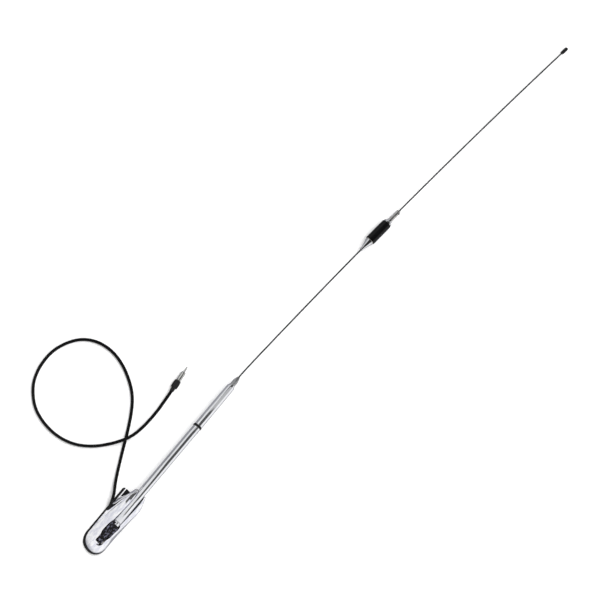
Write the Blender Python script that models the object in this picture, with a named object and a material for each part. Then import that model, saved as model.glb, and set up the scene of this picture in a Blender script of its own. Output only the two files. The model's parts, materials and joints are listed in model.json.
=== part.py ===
"""Motorcycle radio antenna: a chrome housing that holds a fold-down mast, a whip with a loading coil in its
middle and a coaxial lead with a car aerial plug.

Metres, +Z up. The origin is the middle of the mounting face, the underside of the rubber pad at Z = 0.
+Y runs along the mast towards its tip and +Z points out of the mounting face.
"""

import math

import bmesh
import bpy
from mathutils import Matrix, Vector

for old in list(bpy.data.objects):
    bpy.data.objects.remove(old)

mm = 0.001

# Fits
gap = 0.3 * mm  # between neighbouring pieces
overcut = 1.0 * mm  # how far a cutter reaches past what it cuts

# Foot: the rubber pad and the steel plate share one outline
foot_half_width = 26.5 * mm
foot_bottom = -72.0 * mm
foot_top = 65.0 * mm
foot_end_length = 27.0 * mm  # how far the rounded bottom end reaches up the sides
foot_end_power = 2.25  # 2 is an ellipse, more is squarer
foot_corner_radius = 5.0 * mm
pad_thickness = 2.5 * mm
plate_thickness = 3.0 * mm
plate_inset = 0.4 * mm

# Mounting holes, on the plate's middle line
mounting_hole_places = (-61.0 * mm, 46.0 * mm)
tapped_hole_radius = 2.1 * mm  # core of an M5 thread
pad_hole_radius = 3.2 * mm

# Plate screws
plate_screw_places = ((19.0 * mm, -28.0 * mm), (17.0 * mm, 32.0 * mm))
screw_shank_radius = 1.5 * mm
screw_head_radius = 3.0 * mm
screw_head_height = 1.5 * mm
screw_length = 6.6 * mm
screw_edge = 0.6 * mm  # chamfer at its end
screw_recess = 0.1 * mm  # of its head in the plate
boss_radius = 3.3 * mm

# Housing
housing_length = 145.0 * mm
housing_inset = 0.5 * mm  # how far its base lies inside the plate
housing_end_inset = 2.5 * mm  # the same at its bottom end
crest_height = 21.4 * mm  # above its base
housing_wall = 2.0 * mm
housing_end_power = 2.2
housing_dome_power = 0.8  # how its height falls off at that end
nose_from_share = 0.8  # share of its length where the nose's finer steps start
inside_nose_length = 10.0 * mm  # least length of the last stretch of the space inside
section_rounding = (0.42, 0.42, 0.06)  # of the crest, the flank and the base, as shares of their sides

# Mast
mast_height = 21.0 * mm  # axis above the mounting face
lower_tube_radius = 8.0 * mm
tube_wall = 1.4 * mm
tube_edge = 0.3 * mm
lower_tube_start = 2.5 * mm
lower_tube_end = 240.6 * mm
trough_clearance = 1.4 * mm
joint_ring_stand = 1.0 * mm  # how far the ring stands out from the lower tube
joint_ring_length = 4.0 * mm
joint_ring_edge = 0.7 * mm
upper_tube_length = 101.5 * mm
upper_tube_step = 0.2 * mm  # wider than the lower tube at its lower end
upper_tube_taper = 0.4 * mm  # narrower at its top
taper_from_share = 0.35  # share of its length where the taper starts
shoulder_length = 4.5 * mm
shoulder_drop = 1.8 * mm
whip_foot_length = 40.0 * mm  # of the lower whip inside the upper tube
joiner_length = 56.0 * mm
ferrule_length = 19.5 * mm
ferrule_hex_length = 11.0 * mm
ferrule_half_flats = 5.2 * mm
ferrule_tip_radius = 3.0 * mm
ferrule_tip_length = 4.0 * mm

# Fold hinge
pivot_from_start = -42.0 * mm  # Y of its axis
pin_radius = 1.75 * mm
pin_end = 0.4 * mm  # how far the pin reaches past its clips
pin_edge = 0.4 * mm  # chamfer at its ends
knuckle_half_width = 7.6 * mm  # at the pin
eye_radius = 4.4 * mm  # of the knuckle's end round the pin
eye_clearance = 0.4 * mm  # between the eye and the plate
knuckle_lag = 4.0 * mm  # how much later than the slot the knuckle widens
knuckle_edge = 2.0 * mm  # rounding of its section
collar_length = 7.0 * mm
collar_step = 0.5 * mm  # how much thinner than the tube
collar_edge = 1.0 * mm
collar_overlap = 4.0 * mm  # how far the knuckle's body reaches into the collar
knuckle_top = ((-12.0 * mm, 2.0 * mm), (-3.0 * mm, 5.2 * mm))  # Y from the collar, height above the axis
knuckle_low = (-8.0 * mm, -1.6 * mm)  # Y from the collar, height from the collar's underside
slot_bottom = -54.5 * mm
slot_end_length = 8.0 * mm  # of its rounded lower end
slot_widens_from = -38.0 * mm
slot_belly = (-26.0 * mm, -14.0 * mm)  # where it is widest
slot_belly_half_width = 11.4 * mm
slot_wall = 1.5 * mm  # between the slot and the space inside
washer_width = 1.95 * mm
washer_thickness = 0.4 * mm
bush_wall = 0.85 * mm
bush_length = 2.6 * mm
terminal_thickness = 0.5 * mm
terminal_length = 5.0 * mm
clip_width = 0.4 * mm
clip_thickness = 0.6 * mm
spigot_length = 26.0 * mm

# Whip
whip_radius = 1.5 * mm
upper_whip_radius = 1.4 * mm
whip_kink = 0.064  # slope that the whip takes just above the ferrule
whip_kink_length = 15.0 * mm
whip_bow = 0.085  # further slope for each metre of whip
whip_span = 917.0 * mm  # from the ferrule to the tip, along Y

# Loading coil, by distance from the ferrule along Y, then along its own axis
coil_place = 346.0 * mm
coil_length = 107.0 * mm
cone_length = 24.5 * mm
cone_neck_length = 6.0 * mm
cone_neck_radius = 3.2 * mm
cone_radius = 8.0 * mm
cone_rim_length = 2.5 * mm
sleeve_length = 48.0 * mm
sleeve_radius = 9.65 * mm
sleeve_wall = 1.2 * mm
former_radius = 5.6 * mm
wire_radius = 0.55 * mm
wire_clearance = 0.45 * mm  # between the former and the wire
winding_turns = 9
former_end_length = 3.0 * mm  # thickness of the former's end discs
winding_from_end = 5.0 * mm
cap_length = 8.9 * mm
cap_radius = 8.5 * mm
cap_neck_radius = 5.2 * mm
cap_rim_length = 2.6 * mm
adapter_radius = 4.4 * mm
adapter_neck_radius = 3.5 * mm
adapter_neck_length = 1.6 * mm
adapter_neck_share = 0.38  # share of its length where the neck starts
set_screw_radius = 1.5 * mm
set_screw_length = 3.2 * mm
set_screw_from_end = 5.0 * mm
set_screw_lean = (0.45, 0.9)  # shares towards +X and towards the upper side of the coil
upper_whip_grip = 19.0 * mm  # length of the upper whip inside the adapter
tuning_travel_in = 12.0 * mm

# Tip cap
tip_cap_radius = 3.3 * mm
tip_cap_length = 16.0 * mm
tip_cap_end_length = 3.4 * mm  # of its rounded end
tip_cap_end_wall = 4.0 * mm
tip_clearance = 0.05 * mm  # above the surface that the antenna lies on

# Coaxial lead
cable_radius = 3.0 * mm
cable_height = cable_radius + 0.1 * mm
boot_along = 0.5655  # share of the housing's length where the boot passes its wall
boot_height = 10.1 * mm
boot_direction = Vector((-0.467, 0.884, 0.0)).normalized()
boot_inside = 11.0 * mm
boot_outside = 18.0 * mm
boot_radius = 4.0 * mm
boot_tip_radius = 3.5 * mm
boot_plain_length = 5.0 * mm  # outside the wall, before its ribs
boot_ribs = 3
boot_rib_depth = 0.5 * mm
boot_lip_length = 1.5 * mm
tail_along = 0.3828  # share of the housing's length where the lead's tail ends
tail_clearance = 0.4 * mm  # between the ferrule on the tail and the slot's wall
tail_height = 10.0 * mm
core_radius = 1.0 * mm
braid_ferrule_length = 7.0 * mm
braid_ferrule_wall = 0.4 * mm
over_pass_height = 6.5 * mm  # how much the lead rises where it passes over itself
over_pass_reach = 60.0 * mm
fall_length = 55.0 * mm  # in which the lead falls from the boot to the surface
cable_spacing = 13.0 * mm  # between its points
hidden_lead_spacing = 2.5 * mm
crossing = Vector((-67.0 * mm, 119.5 * mm))

# The lead's route on the surface, chosen by hand, in millimetres from where the boot passes the wall
cable_route = (
    (-15.0, 28.5), (-24.5, 44.5), (-38.0, 68.5), (-53.0, 94.5), (-75.0, 133.5), (-95.0, 163.5),
    (-115.0, 184.5), (-141.0, 199.5), (-171.0, 209.5), (-203.0, 212.5), (-237.0, 205.5), (-266.0, 188.5),
    (-287.0, 162.5), (-300.0, 129.5), (-301.0, 95.5), (-292.0, 65.5), (-275.0, 44.5), (-250.0, 28.5),
    (-217.0, 21.5), (-180.0, 23.5), (-144.0, 35.5), (-113.0, 56.5), (-88.0, 83.5), (-70.0, 112.5),
    (-60.0, 136.5), (-53.5, 165.5), (-52.5, 197.5), (-55.5, 223.5),
)

# Car aerial plug, by distance along its own axis from the tail's end
plug_from_boot = Vector((-58.6 * mm, 243.5 * mm, -3.3 * mm))
plug_direction = Vector((-0.124, 0.992, 0.0)).normalized()
tail_length = 7.5 * mm
tail_radius = 4.0 * mm
grip_length = 16.5 * mm
grip_radius = 6.6 * mm
grip_edge = 1.2 * mm
barrel_length = 19.0 * mm
barrel_radius = 4.4 * mm
barrel_wall = 0.5 * mm
barrel_lip = 0.7 * mm  # how much narrower it is at its open end
barrel_lip_length = 2.0 * mm
barrel_depth = 5.0 * mm  # of its open end
insulator_length = 4.0 * mm
plug_pin_length = 12.5 * mm
plug_pin_radius = 1.45 * mm
plug_pin_end_length = 1.6 * mm

# Places that follow from the sizes above
plate_top = pad_thickness + gap + plate_thickness
housing_base = plate_top + gap
housing_start = foot_bottom + housing_end_inset
trough_radius = lower_tube_radius + trough_clearance
mast_axis = Vector((0.0, 0.0, mast_height))
along_mast = Vector((0.0, 1.0, 0.0))
across_mast = Vector((1.0, 0.0, 0.0))
upward = Vector((0.0, 0.0, 1.0))
ring_start = lower_tube_end + gap
upper_tube_start = ring_start + joint_ring_length + gap
upper_tube_end = upper_tube_start + upper_tube_length
ferrule_start = upper_tube_end + gap
ferrule_end = ferrule_start + ferrule_length
tube_bore = lower_tube_radius - tube_wall
joint_ring_radius = lower_tube_radius + joint_ring_stand
upper_tube_radius = lower_tube_radius + upper_tube_step
upper_tube_top_radius = upper_tube_radius - upper_tube_taper
shoulder_radius = upper_tube_top_radius - shoulder_drop
winding_radius = former_radius + wire_clearance + wire_radius  # to the middle of the wire
pin_bore = pin_radius + gap
bush_radius = pin_bore + bush_wall
washer_radius = pin_bore + washer_width
clip_radius = pin_bore + clip_width
pivot = Vector((0.0, pivot_from_start, plate_top + eye_clearance + eye_radius))
slot_half_width = knuckle_half_width + washer_thickness + 2 * gap
terminal_start = slot_half_width + bush_length + gap  # from the mast's plane out to the left
clip_start = terminal_start + terminal_thickness + gap
pin_half_length = clip_start + clip_thickness + pin_end
housing_half_width = foot_half_width - housing_inset
boot_wall_y = housing_start + boot_along * housing_length
boot_wall_point = Vector((housing_wall - housing_half_width, boot_wall_y, boot_height))
tail_end_y = housing_start + tail_along * housing_length
slot_top = lower_tube_start + 2.0 * mm  # just above the tube's lower end
belly_cheek = slot_belly_half_width + slot_wall
braid_ferrule_radius = cable_radius + gap + braid_ferrule_wall
tail_end = Vector((-belly_cheek - tail_clearance - braid_ferrule_radius, tail_end_y, tail_height))
plug_place = boot_wall_point + plug_from_boot


# Materials
def make_material(name, colour, roughness, metallic=0.0):
    material = bpy.data.materials.new(name)
    material.use_nodes = True
    shader = material.node_tree.nodes["Principled BSDF"]
    shader.inputs["Base Color"].default_value = (*colour, 1.0)
    shader.inputs["Roughness"].default_value = roughness
    shader.inputs["Metallic"].default_value = metallic
    material.diffuse_color = (*colour, 1.0)
    return material


rubber = make_material("pad_rubber", (0.02, 0.02, 0.022), 0.8)
black_steel = make_material("powder_coated_steel", (0.015, 0.015, 0.017), 0.5)
chrome = make_material("chrome_plate", (0.82, 0.83, 0.86), 0.08, 1.0)
black_gloss = make_material("gloss_black_zinc", (0.01, 0.01, 0.012), 0.2)
steel = make_material("stainless_steel", (0.55, 0.56, 0.57), 0.25, 1.0)
nickel = make_material("nickel_plate", (0.62, 0.61, 0.58), 0.2, 1.0)
black_plastic = make_material("black_plastic", (0.012, 0.012, 0.013), 0.4)
nylon = make_material("white_nylon", (0.7, 0.69, 0.64), 0.5)
copper = make_material("copper_wire", (0.65, 0.3, 0.15), 0.3, 1.0)
jacket = make_material("cable_jacket", (0.012, 0.012, 0.013), 0.45)


# Tools for making objects
def add_object(name, mesh, material, parent=None, matrix=None):
    made = bpy.data.objects.new(name, mesh)
    bpy.context.scene.collection.objects.link(made)
    if matrix is not None:
        made.matrix_world = matrix
    mesh.materials.append(material)
    if parent is not None:
        made.parent = parent
        made.matrix_parent_inverse = Matrix.Translation(-place_of_empty[parent.name])
    return made


def mesh_from(build, name, smooth_angle=35.0):
    mesh = bpy.data.meshes.new(name)
    bmesh.ops.recalc_face_normals(build, faces=build.faces)
    build.to_mesh(mesh)
    build.free()
    mesh.shade_smooth()
    mesh.set_sharp_from_angle(angle=math.radians(smooth_angle))
    return mesh


def pointing(start, direction):
    """Matrix that puts local Z along a direction, from a start point."""
    return Matrix.Translation(start) @ direction.to_track_quat("Z", "Y").to_matrix().to_4x4()


def turned(name, profile, material, start, direction, parent=None, steps=32, closed=False):
    """A turned piece. Each profile point is a radius, a distance along the axis and, for a hexagon, True."""
    build = bmesh.new()
    rings = []
    for point in profile:
        radius, along = point[0], point[1]
        hexagon = len(point) > 2 and point[2]
        if radius == 0.0:
            rings.append([build.verts.new((0.0, 0.0, along))])
            continue
        ring = []
        for step in range(steps):
            turn = 2.0 * math.pi * step / steps
            reach = radius
            if hexagon:
                reach = radius / math.cos(turn % (math.pi / 3.0) - math.pi / 6.0)
            ring.append(build.verts.new((reach * math.cos(turn), reach * math.sin(turn), along)))
        rings.append(ring)
    pairs = list(zip(rings, rings[1:]))
    if closed:
        pairs.append((rings[-1], rings[0]))
    for first, second in pairs:
        if len(first) == len(second) == 1:
            continue
        for step in range(steps):
            after = (step + 1) % steps
            corners = [first[step % len(first)], first[after % len(first)]]
            corners += [second[after % len(second)], second[step % len(second)]]
            build.faces.new(list(dict.fromkeys(corners)))
    if not closed:
        for ring in (rings[0], rings[-1]):
            if len(ring) > 1:
                build.faces.new(ring)
    return add_object(name, mesh_from(build, name), material, parent, pointing(start, direction))


def tube_profile(outer, inner, length, edge):
    """A pipe's closed profile with small chamfers at its outer ends."""
    outside = [(outer - edge, 0.0), (outer, edge), (outer, length - edge), (outer - edge, length)]
    return [(inner, 0.0), *outside, (inner, length)]


def extruded(name, outline, low, high, material, axis="Z", parent=None):
    """A closed outline pushed along Z, or along X with the outline in Y and Z."""
    build = bmesh.new()
    if axis == "Z":
        corners = [build.verts.new((x, y, low)) for x, y in outline]
        move = Vector((0.0, 0.0, high - low))
    else:
        corners = [build.verts.new((low, y, z)) for y, z in outline]
        move = Vector((high - low, 0.0, 0.0))
    face = build.faces.new(corners)
    pushed = bmesh.ops.extrude_face_region(build, geom=[face])
    moved = [item for item in pushed["geom"] if isinstance(item, bmesh.types.BMVert)]
    bmesh.ops.translate(build, verts=moved, vec=move)
    return add_object(name, mesh_from(build, name), material, parent)


def arc(centre, radius, first, last, steps):
    """Points of an arc, with its angles in degrees."""
    turns = [math.radians(first + (last - first) * step / steps) for step in range(steps + 1)]
    return [(centre[0] + radius * math.cos(turn), centre[1] + radius * math.sin(turn)) for turn in turns]


def as_cutter(made):
    made.hide_render = True
    made.display_type = "WIRE"
    return made


def cut(target, cutter, operation="DIFFERENCE"):
    modifier = target.modifiers.new(cutter.name, "BOOLEAN")
    modifier.object = cutter
    modifier.operation = operation
    modifier.solver = "EXACT"


def cutting_cylinder(name, radius, start, direction, length, steps=20):
    profile = [(radius, 0.0), (radius, length)]
    return as_cutter(turned(name, profile, steel, start, direction, steps=steps))


def cutting_box(name, low, high):
    outline = [(low[0], low[1]), (high[0], low[1]), (high[0], high[1]), (low[0], high[1])]
    return as_cutter(extruded(name, outline, low[2], high[2], steel))


def rod(name, points, radius, material, parent=None, resolution=2):
    """A round rod or lead along a row of points."""
    curve = bpy.data.curves.new(name, "CURVE")
    curve.dimensions = "3D"
    curve.bevel_depth = radius
    curve.bevel_resolution = resolution
    curve.use_fill_caps = True
    spline = curve.splines.new("POLY")
    spline.points.add(len(points) - 1)
    for control, point in zip(spline.points, points):
        control.co = (*point, 1.0)
    return add_object(name, curve, material, parent)


def smooth_path(points, spacing):
    """Points at an even spacing on a smooth curve through the given ones."""
    ends = [2 * points[0] - points[1], *points, 2 * points[-1] - points[-2]]
    fine = []
    per_stretch = 24
    for before, first, second, after in zip(ends, ends[1:], ends[2:], ends[3:]):
        for step in range(per_stretch):
            t = step / per_stretch
            fine.append(
                0.5 * (2 * first + (second - before) * t
                       + (2 * before - 5 * first + 4 * second - after) * t ** 2
                       + (3 * first - before - 3 * second + after) * t ** 3)
            )
    fine.append(points[-1])
    total = sum((b - a).length for a, b in zip(fine, fine[1:]))
    count = max(2, round(total / spacing))
    kept, travelled, wanted = [fine[0]], 0.0, total / count
    for a, b in zip(fine, fine[1:]):
        stretch = (b - a).length
        while travelled + stretch >= wanted and len(kept) < count:
            kept.append(a.lerp(b, (wanted - travelled) / stretch))
            wanted += total / count
        travelled += stretch
    return [*kept, fine[-1]]


# Empties that carry the moving pieces
place_of_empty = {}


def add_empty(name, place, parent=None):
    empty = bpy.data.objects.new(name, None)
    bpy.context.scene.collection.objects.link(empty)
    empty.location = place
    place_of_empty[name] = place
    if parent is not None:
        empty.parent = parent
        empty.matrix_parent_inverse = Matrix.Translation(-place_of_empty[parent.name])
    return empty


# The whip's line: it leaves the ferrule, bows to one side and sags to the surface
tip_drop = mast_height - tip_cap_radius - tip_clearance


def whip_point(along):
    eased = along - whip_kink_length * (1.0 - math.exp(-along / whip_kink_length))
    side = whip_kink * eased + whip_bow * along * along / 2.0
    height = mast_height - tip_drop * (along / whip_span) ** 1.5
    return Vector((side, ferrule_end + along, height))


coil_start = whip_point(coil_place)
coil_axis = (whip_point(coil_place + coil_length) - coil_start).normalized()


def on_coil(along):
    return coil_start + coil_axis * along


mast_hinge = add_empty("mast_hinge", pivot)
tuning_slide = add_empty("tuning_slide", on_coil(coil_length), mast_hinge)


# Foot
def foot_outline(inset):
    half = foot_half_width - inset
    end_from = foot_bottom + foot_end_length
    reach = foot_end_length - inset
    steps = 14
    points = []
    for step in range(2 * steps + 1):
        turn = math.pi * (step / (2 * steps))
        across = math.copysign(abs(math.cos(turn)) ** (2.0 / foot_end_power), math.cos(turn))
        down = math.sin(turn) ** (2.0 / foot_end_power)
        points.append((-half * across, end_from - reach * down))
    radius = foot_corner_radius - inset
    top = foot_top - inset
    points += arc((half - radius, top - radius), radius, 0.0, 90.0, 5)
    points += arc((-half + radius, top - radius), radius, 90.0, 180.0, 5)
    return points


def make_pad():
    pad = extruded("mounting_pad", foot_outline(0.0), 0.0, pad_thickness, rubber)
    length = pad_thickness + 2 * overcut
    for number, place in enumerate(mounting_hole_places, 1):
        start = Vector((0.0, place, -overcut))
        cut(pad, cutting_cylinder(f"pad_hole_{number}_cutter", pad_hole_radius, start, upward, length))


def screw_places():
    return [(side * x, y) for x, y in plate_screw_places for side in (-1, 1)]


def make_plate():
    low = pad_thickness + gap
    plate = extruded("mounting_plate", foot_outline(plate_inset), low, plate_top, black_steel)
    length = plate_thickness + 2 * overcut
    radius = tapped_hole_radius
    for number, place in enumerate(mounting_hole_places, 1):
        start = Vector((0.0, place, low - overcut))
        cut(plate, cutting_cylinder(f"tapped_hole_{number}_cutter", radius, start, upward, length))

    head = screw_head_radius + gap
    shank = screw_shank_radius + gap
    countersink = [
        (head, -overcut), (head, gap), (shank, screw_head_height + gap), (shank, plate_thickness + overcut),
    ]
    screw = [
        (0.0, 0.0), (screw_head_radius, 0.0), (screw_shank_radius, screw_head_height),
        (screw_shank_radius, screw_length - screw_edge), (screw_shank_radius - screw_edge, screw_length),
        (0.0, screw_length),
    ]
    for number, (x, y) in enumerate(screw_places(), 1):
        start = Vector((x, y, low))
        cutter = turned(f"countersink_{number}_cutter", countersink, steel, start, upward, steps=16)
        cut(plate, as_cutter(cutter))
        start = Vector((x, y, low + screw_recess))
        turned(f"plate_screw_{number}", screw, steel, start, upward, steps=16)


# Housing: sections along Y, each a rounded outline from the crest down the flank to the base.
# Widths are shares of the base's half width, heights shares of the crest height, and the first value is the
# share of the housing's length, from the bottom end to the nose.
housing_sections = (
    # along, base, waist, crease, underside, waist height, crest
    (0.00, 0.99, 0.85, 0.40, 0.00, 0.20, 0.38),
    (0.13, 0.99, 0.85, 0.44, 0.00, 0.23, 0.45),
    (0.34, 1.00, 0.86, 0.50, 0.00, 0.29, 0.62),
    (0.48, 1.00, 0.885, 0.58, 0.00, 0.36, 0.75),
    (0.65, 0.99, 0.90, 0.665, 0.00, 0.47, 0.90),
    (0.77, 0.88, 0.885, 0.74, 0.00, 0.56, 0.98),
    (0.84, 0.71, 0.81, 0.72, 0.02, 0.58, 1.00),
    (0.90, 0.55, 0.69, 0.63, 0.06, 0.60, 0.97),
    (0.95, 0.44, 0.58, 0.54, 0.10, 0.60, 0.90),
    (1.00, 0.37, 0.49, 0.47, 0.14, 0.60, 0.79),
)


def section_sizes(along):
    """The six sizes of the housing at a share of its length, on smooth curves through the sections."""
    rows = housing_sections
    place = max(i for i in range(len(rows) - 1) if rows[i][0] <= along or i == 0)
    before, first = rows[max(place - 1, 0)], rows[place]
    second, after = rows[place + 1], rows[min(place + 2, len(rows) - 1)]
    span = second[0] - first[0]
    t = (along - first[0]) / span
    sizes = []
    for column in range(1, 7):
        start_slope = (second[column] - before[column]) / (second[0] - before[0]) * span
        end_slope = (after[column] - first[column]) / (after[0] - first[0]) * span
        sizes.append(
            (2 * t ** 3 - 3 * t ** 2 + 1) * first[column] + (t ** 3 - 2 * t ** 2 + t) * start_slope
            + (3 * t ** 2 - 2 * t ** 3) * second[column] + (t ** 3 - t ** 2) * end_slope
        )
    return sizes


def rounded_run(corners, cuts, steps):
    """The first and last corner as they are, and each one between cut back by a share of its sides."""
    points = [corners[0]]
    for before, corner, after, share in zip(corners, corners[1:], corners[2:], cuts):
        first = corner.lerp(before, share)
        last = corner.lerp(after, share)
        for step in range(steps + 1):
            t = step / steps
            points.append(first * (1 - t) ** 2 + corner * 2 * t * (1 - t) + last * t ** 2)
    return [*points, corners[-1]]


def housing_ring(along, end_share, inset):
    """One ring of the loft: its Y, and its points round the section."""
    base, waist, crease, underside, waist_height, crest = section_sizes(along)
    half = housing_half_width
    base_x = half * base * end_share - inset
    waist_x = half * waist * end_share - inset
    crease_x = half * crease * end_share - inset
    low = housing_base + crest_height * underside
    rise = end_share ** housing_dome_power
    waist_z = housing_base + crest_height * waist_height * rise
    top = housing_base + crest_height * crest * rise - inset
    if inset:
        low = housing_base - 2 * overcut
        waist_z = min(waist_z, top - 0.5 * mm)  # keeps the section's corners in order under the low dome
    corners = [Vector(c) for c in ((0, top), (crease_x, top), (waist_x, waist_z), (base_x, low), (0, low))]
    half_run = rounded_run(corners, section_rounding, 4)
    other_half = [Vector((-point.x, point.y)) for point in reversed(half_run[1:-1])]
    return [*half_run, *other_half]


def housing_loft(name, inset, end_steps, body_steps, nose_steps, material):
    """The outer form of the housing, or with an inset the space inside it."""
    end_length = foot_end_length - inset
    end_from = housing_start + foot_end_length
    last_turn = 68.0 if inset else 84.0  # the space inside ends where the dome gets low
    rings = []
    for step in range(end_steps, 0, -1):
        turn = math.radians(last_turn) * step / end_steps
        y = end_from - end_length * math.sin(turn) ** (2.0 / housing_end_power)
        rings.append((y, math.cos(turn) ** (2.0 / housing_end_power)))
    nose_from = housing_start + nose_from_share * housing_length
    nose_end = housing_start + housing_length
    if inset:
        nose_end = foot_top - plate_inset - inset  # it ends above the plate, and the nose is solid
        nose_from = min(nose_from, nose_end - inside_nose_length)
    rings += [(end_from + (nose_from - end_from) * step / body_steps, 1.0) for step in range(body_steps)]
    rings += [(nose_from + (nose_end - nose_from) * step / nose_steps, 1.0) for step in range(nose_steps + 1)]
    build = bmesh.new()
    made = []
    for y, end_share in rings:
        share = min(max((y - housing_start) / housing_length, 0.0), 1.0)
        made.append([build.verts.new((p.x, y, p.y)) for p in housing_ring(share, end_share, inset)])
    for first, second in zip(made, made[1:]):
        for a in range(len(first)):
            b = (a + 1) % len(first)
            build.faces.new((first[a], first[b], second[b], second[a]))
    build.faces.new(made[0])
    build.faces.new(made[-1])
    return add_object(name, mesh_from(build, name, 40.0), material)


def slot_half_at(y):
    """Half width of the slot: a rounded end, a straight stretch at the hinge, a belly, then the trough."""
    rounded_to = slot_bottom + slot_end_length
    if y < rounded_to:
        short = (rounded_to - y) / slot_end_length
        return slot_half_width * math.sqrt(max(1.0 - short * short, 0.0))
    stops = [
        (rounded_to, slot_half_width), (slot_widens_from, slot_half_width),
        (slot_belly[0], slot_belly_half_width), (slot_belly[1], slot_belly_half_width),
        (slot_top, trough_radius),
    ]
    for (start, first), (end, second) in zip(stops, stops[1:]):
        if y <= end:
            t = (y - start) / (end - start)
            return first + (second - first) * t * t * (3 - 2 * t)
    return trough_radius


def make_housing():
    far = mast_height + 39.0 * mm  # well above the housing
    deep = housing_base - 3 * overcut
    past_nose = housing_start + housing_length + 5 * overcut
    housing = housing_loft("pod_housing", 0.0, 8, 13, 9, chrome)

    inside = as_cutter(housing_loft("inside_cutter", housing_wall, 4, 11, 4, steel))
    cheek = slot_half_width + slot_wall
    widening = slot_belly[0] - slot_widens_from
    narrowing = slot_top - slot_belly[1]
    belly_places = [slot_widens_from + widening * step / 5 for step in range(6)]
    belly_places += [slot_belly[1] + narrowing * step / 5 for step in range(6)]
    right = [(cheek, slot_bottom - housing_wall)] + [(slot_half_at(y) + slot_wall, y) for y in belly_places]
    right.append((trough_radius + slot_wall, slot_top + housing_wall))
    well = right + [(-x, y) for x, y in reversed(right)]
    cut(inside, as_cutter(extruded("slot_well_cutter", well, deep, far, steel)))
    trough_wall = trough_radius + housing_wall
    trough_low = mast_height - trough_radius - housing_wall
    low_corner = (-trough_wall, slot_top, trough_low)
    cut(inside, cutting_box("trough_well_cutter", low_corner, (trough_wall, past_nose, far)))
    pilot = screw_shank_radius + gap
    profile = [(pilot, 0.0), (boss_radius, 0.0), (boss_radius, far), (pilot, far)]
    for number, (x, y) in enumerate(screw_places(), 1):
        boss = turned(f"boss_{number}_cutter", profile, steel, Vector((x, y, deep)), upward, None, 20, True)
        cut(inside, as_cutter(boss))
    cut(housing, inside)

    turns = [math.pi / 2 * step / 8 for step in range(1, 9)]
    places = [slot_bottom + slot_end_length * (1 - math.cos(turn)) for turn in turns]
    right = [(slot_half_at(y), y) for y in places + belly_places]
    slot = [(0.0, slot_bottom), *right] + [(-x, y) for x, y in reversed(right)]
    cut(housing, as_cutter(extruded("slot_cutter", slot, deep, far, steel)))

    trough = arc((0.0, mast_height), trough_radius, -180.0, 0.0, 16)
    trough = [(-trough_radius, far)] + trough + [(trough_radius, far)]
    trough_cutter = bmesh.new()
    low_end = slot_top - overcut
    corners = [trough_cutter.verts.new((x, low_end, z)) for x, z in trough]
    face = trough_cutter.faces.new(corners)
    pushed = bmesh.ops.extrude_face_region(trough_cutter, geom=[face])
    moved = [item for item in pushed["geom"] if isinstance(item, bmesh.types.BMVert)]
    bmesh.ops.translate(trough_cutter, verts=moved, vec=along_mast * (past_nose - low_end))
    cut(housing, as_cutter(add_object("trough_cutter", mesh_from(trough_cutter, "trough_cutter"), steel)))

    notch = bush_outline(bush_radius + gap, deep)
    for side in (-1, 1):
        low, high = sorted((side * (slot_half_width - overcut), side * (cheek + overcut)))
        cut(housing, as_cutter(extruded(f"bush_notch_{side + 2}_cutter", notch, low, high, steel, "X")))

        start = Vector((side * (cheek + gap), pivot.y, pivot.z))
        length = pin_half_length - cheek
        room = clip_radius + gap
        cut(housing, cutting_cylinder(f"pin_room_{side + 2}_cutter", room, start, across_mast * side, length))

    inner_end = boot_wall_point - boot_direction * (boot_inside + gap)
    reach = boot_inside + boot_outside
    cut(housing, cutting_cylinder("boot_hole_cutter", boot_radius + gap, inner_end, boot_direction, reach))
    across = Vector((boot_direction.y, -boot_direction.x, 0.0)) * (boot_radius + gap)
    outer_end = inner_end + boot_direction * reach
    corners = [inner_end - across, inner_end + across, outer_end + across, outer_end - across]
    outline = [(corner.x, corner.y) for corner in corners]
    cut(housing, as_cutter(extruded("boot_notch_cutter", outline, deep, boot_wall_point.z, steel)))


# Fold hinge
def bush_outline(radius, low):
    """Y and Z of a block with a round top on the pivot's axis and straight sides down to a height."""
    top = arc((pivot.y, pivot.z), radius, 0.0, 180.0, 12)
    return [*top, (pivot.y - radius, low), (pivot.y + radius, low)]


def drill(target, name, radius, low, high):
    start = Vector((low, pivot.y, pivot.z))
    cut(target, cutting_cylinder(name, radius, start, across_mast, high - low))


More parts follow.
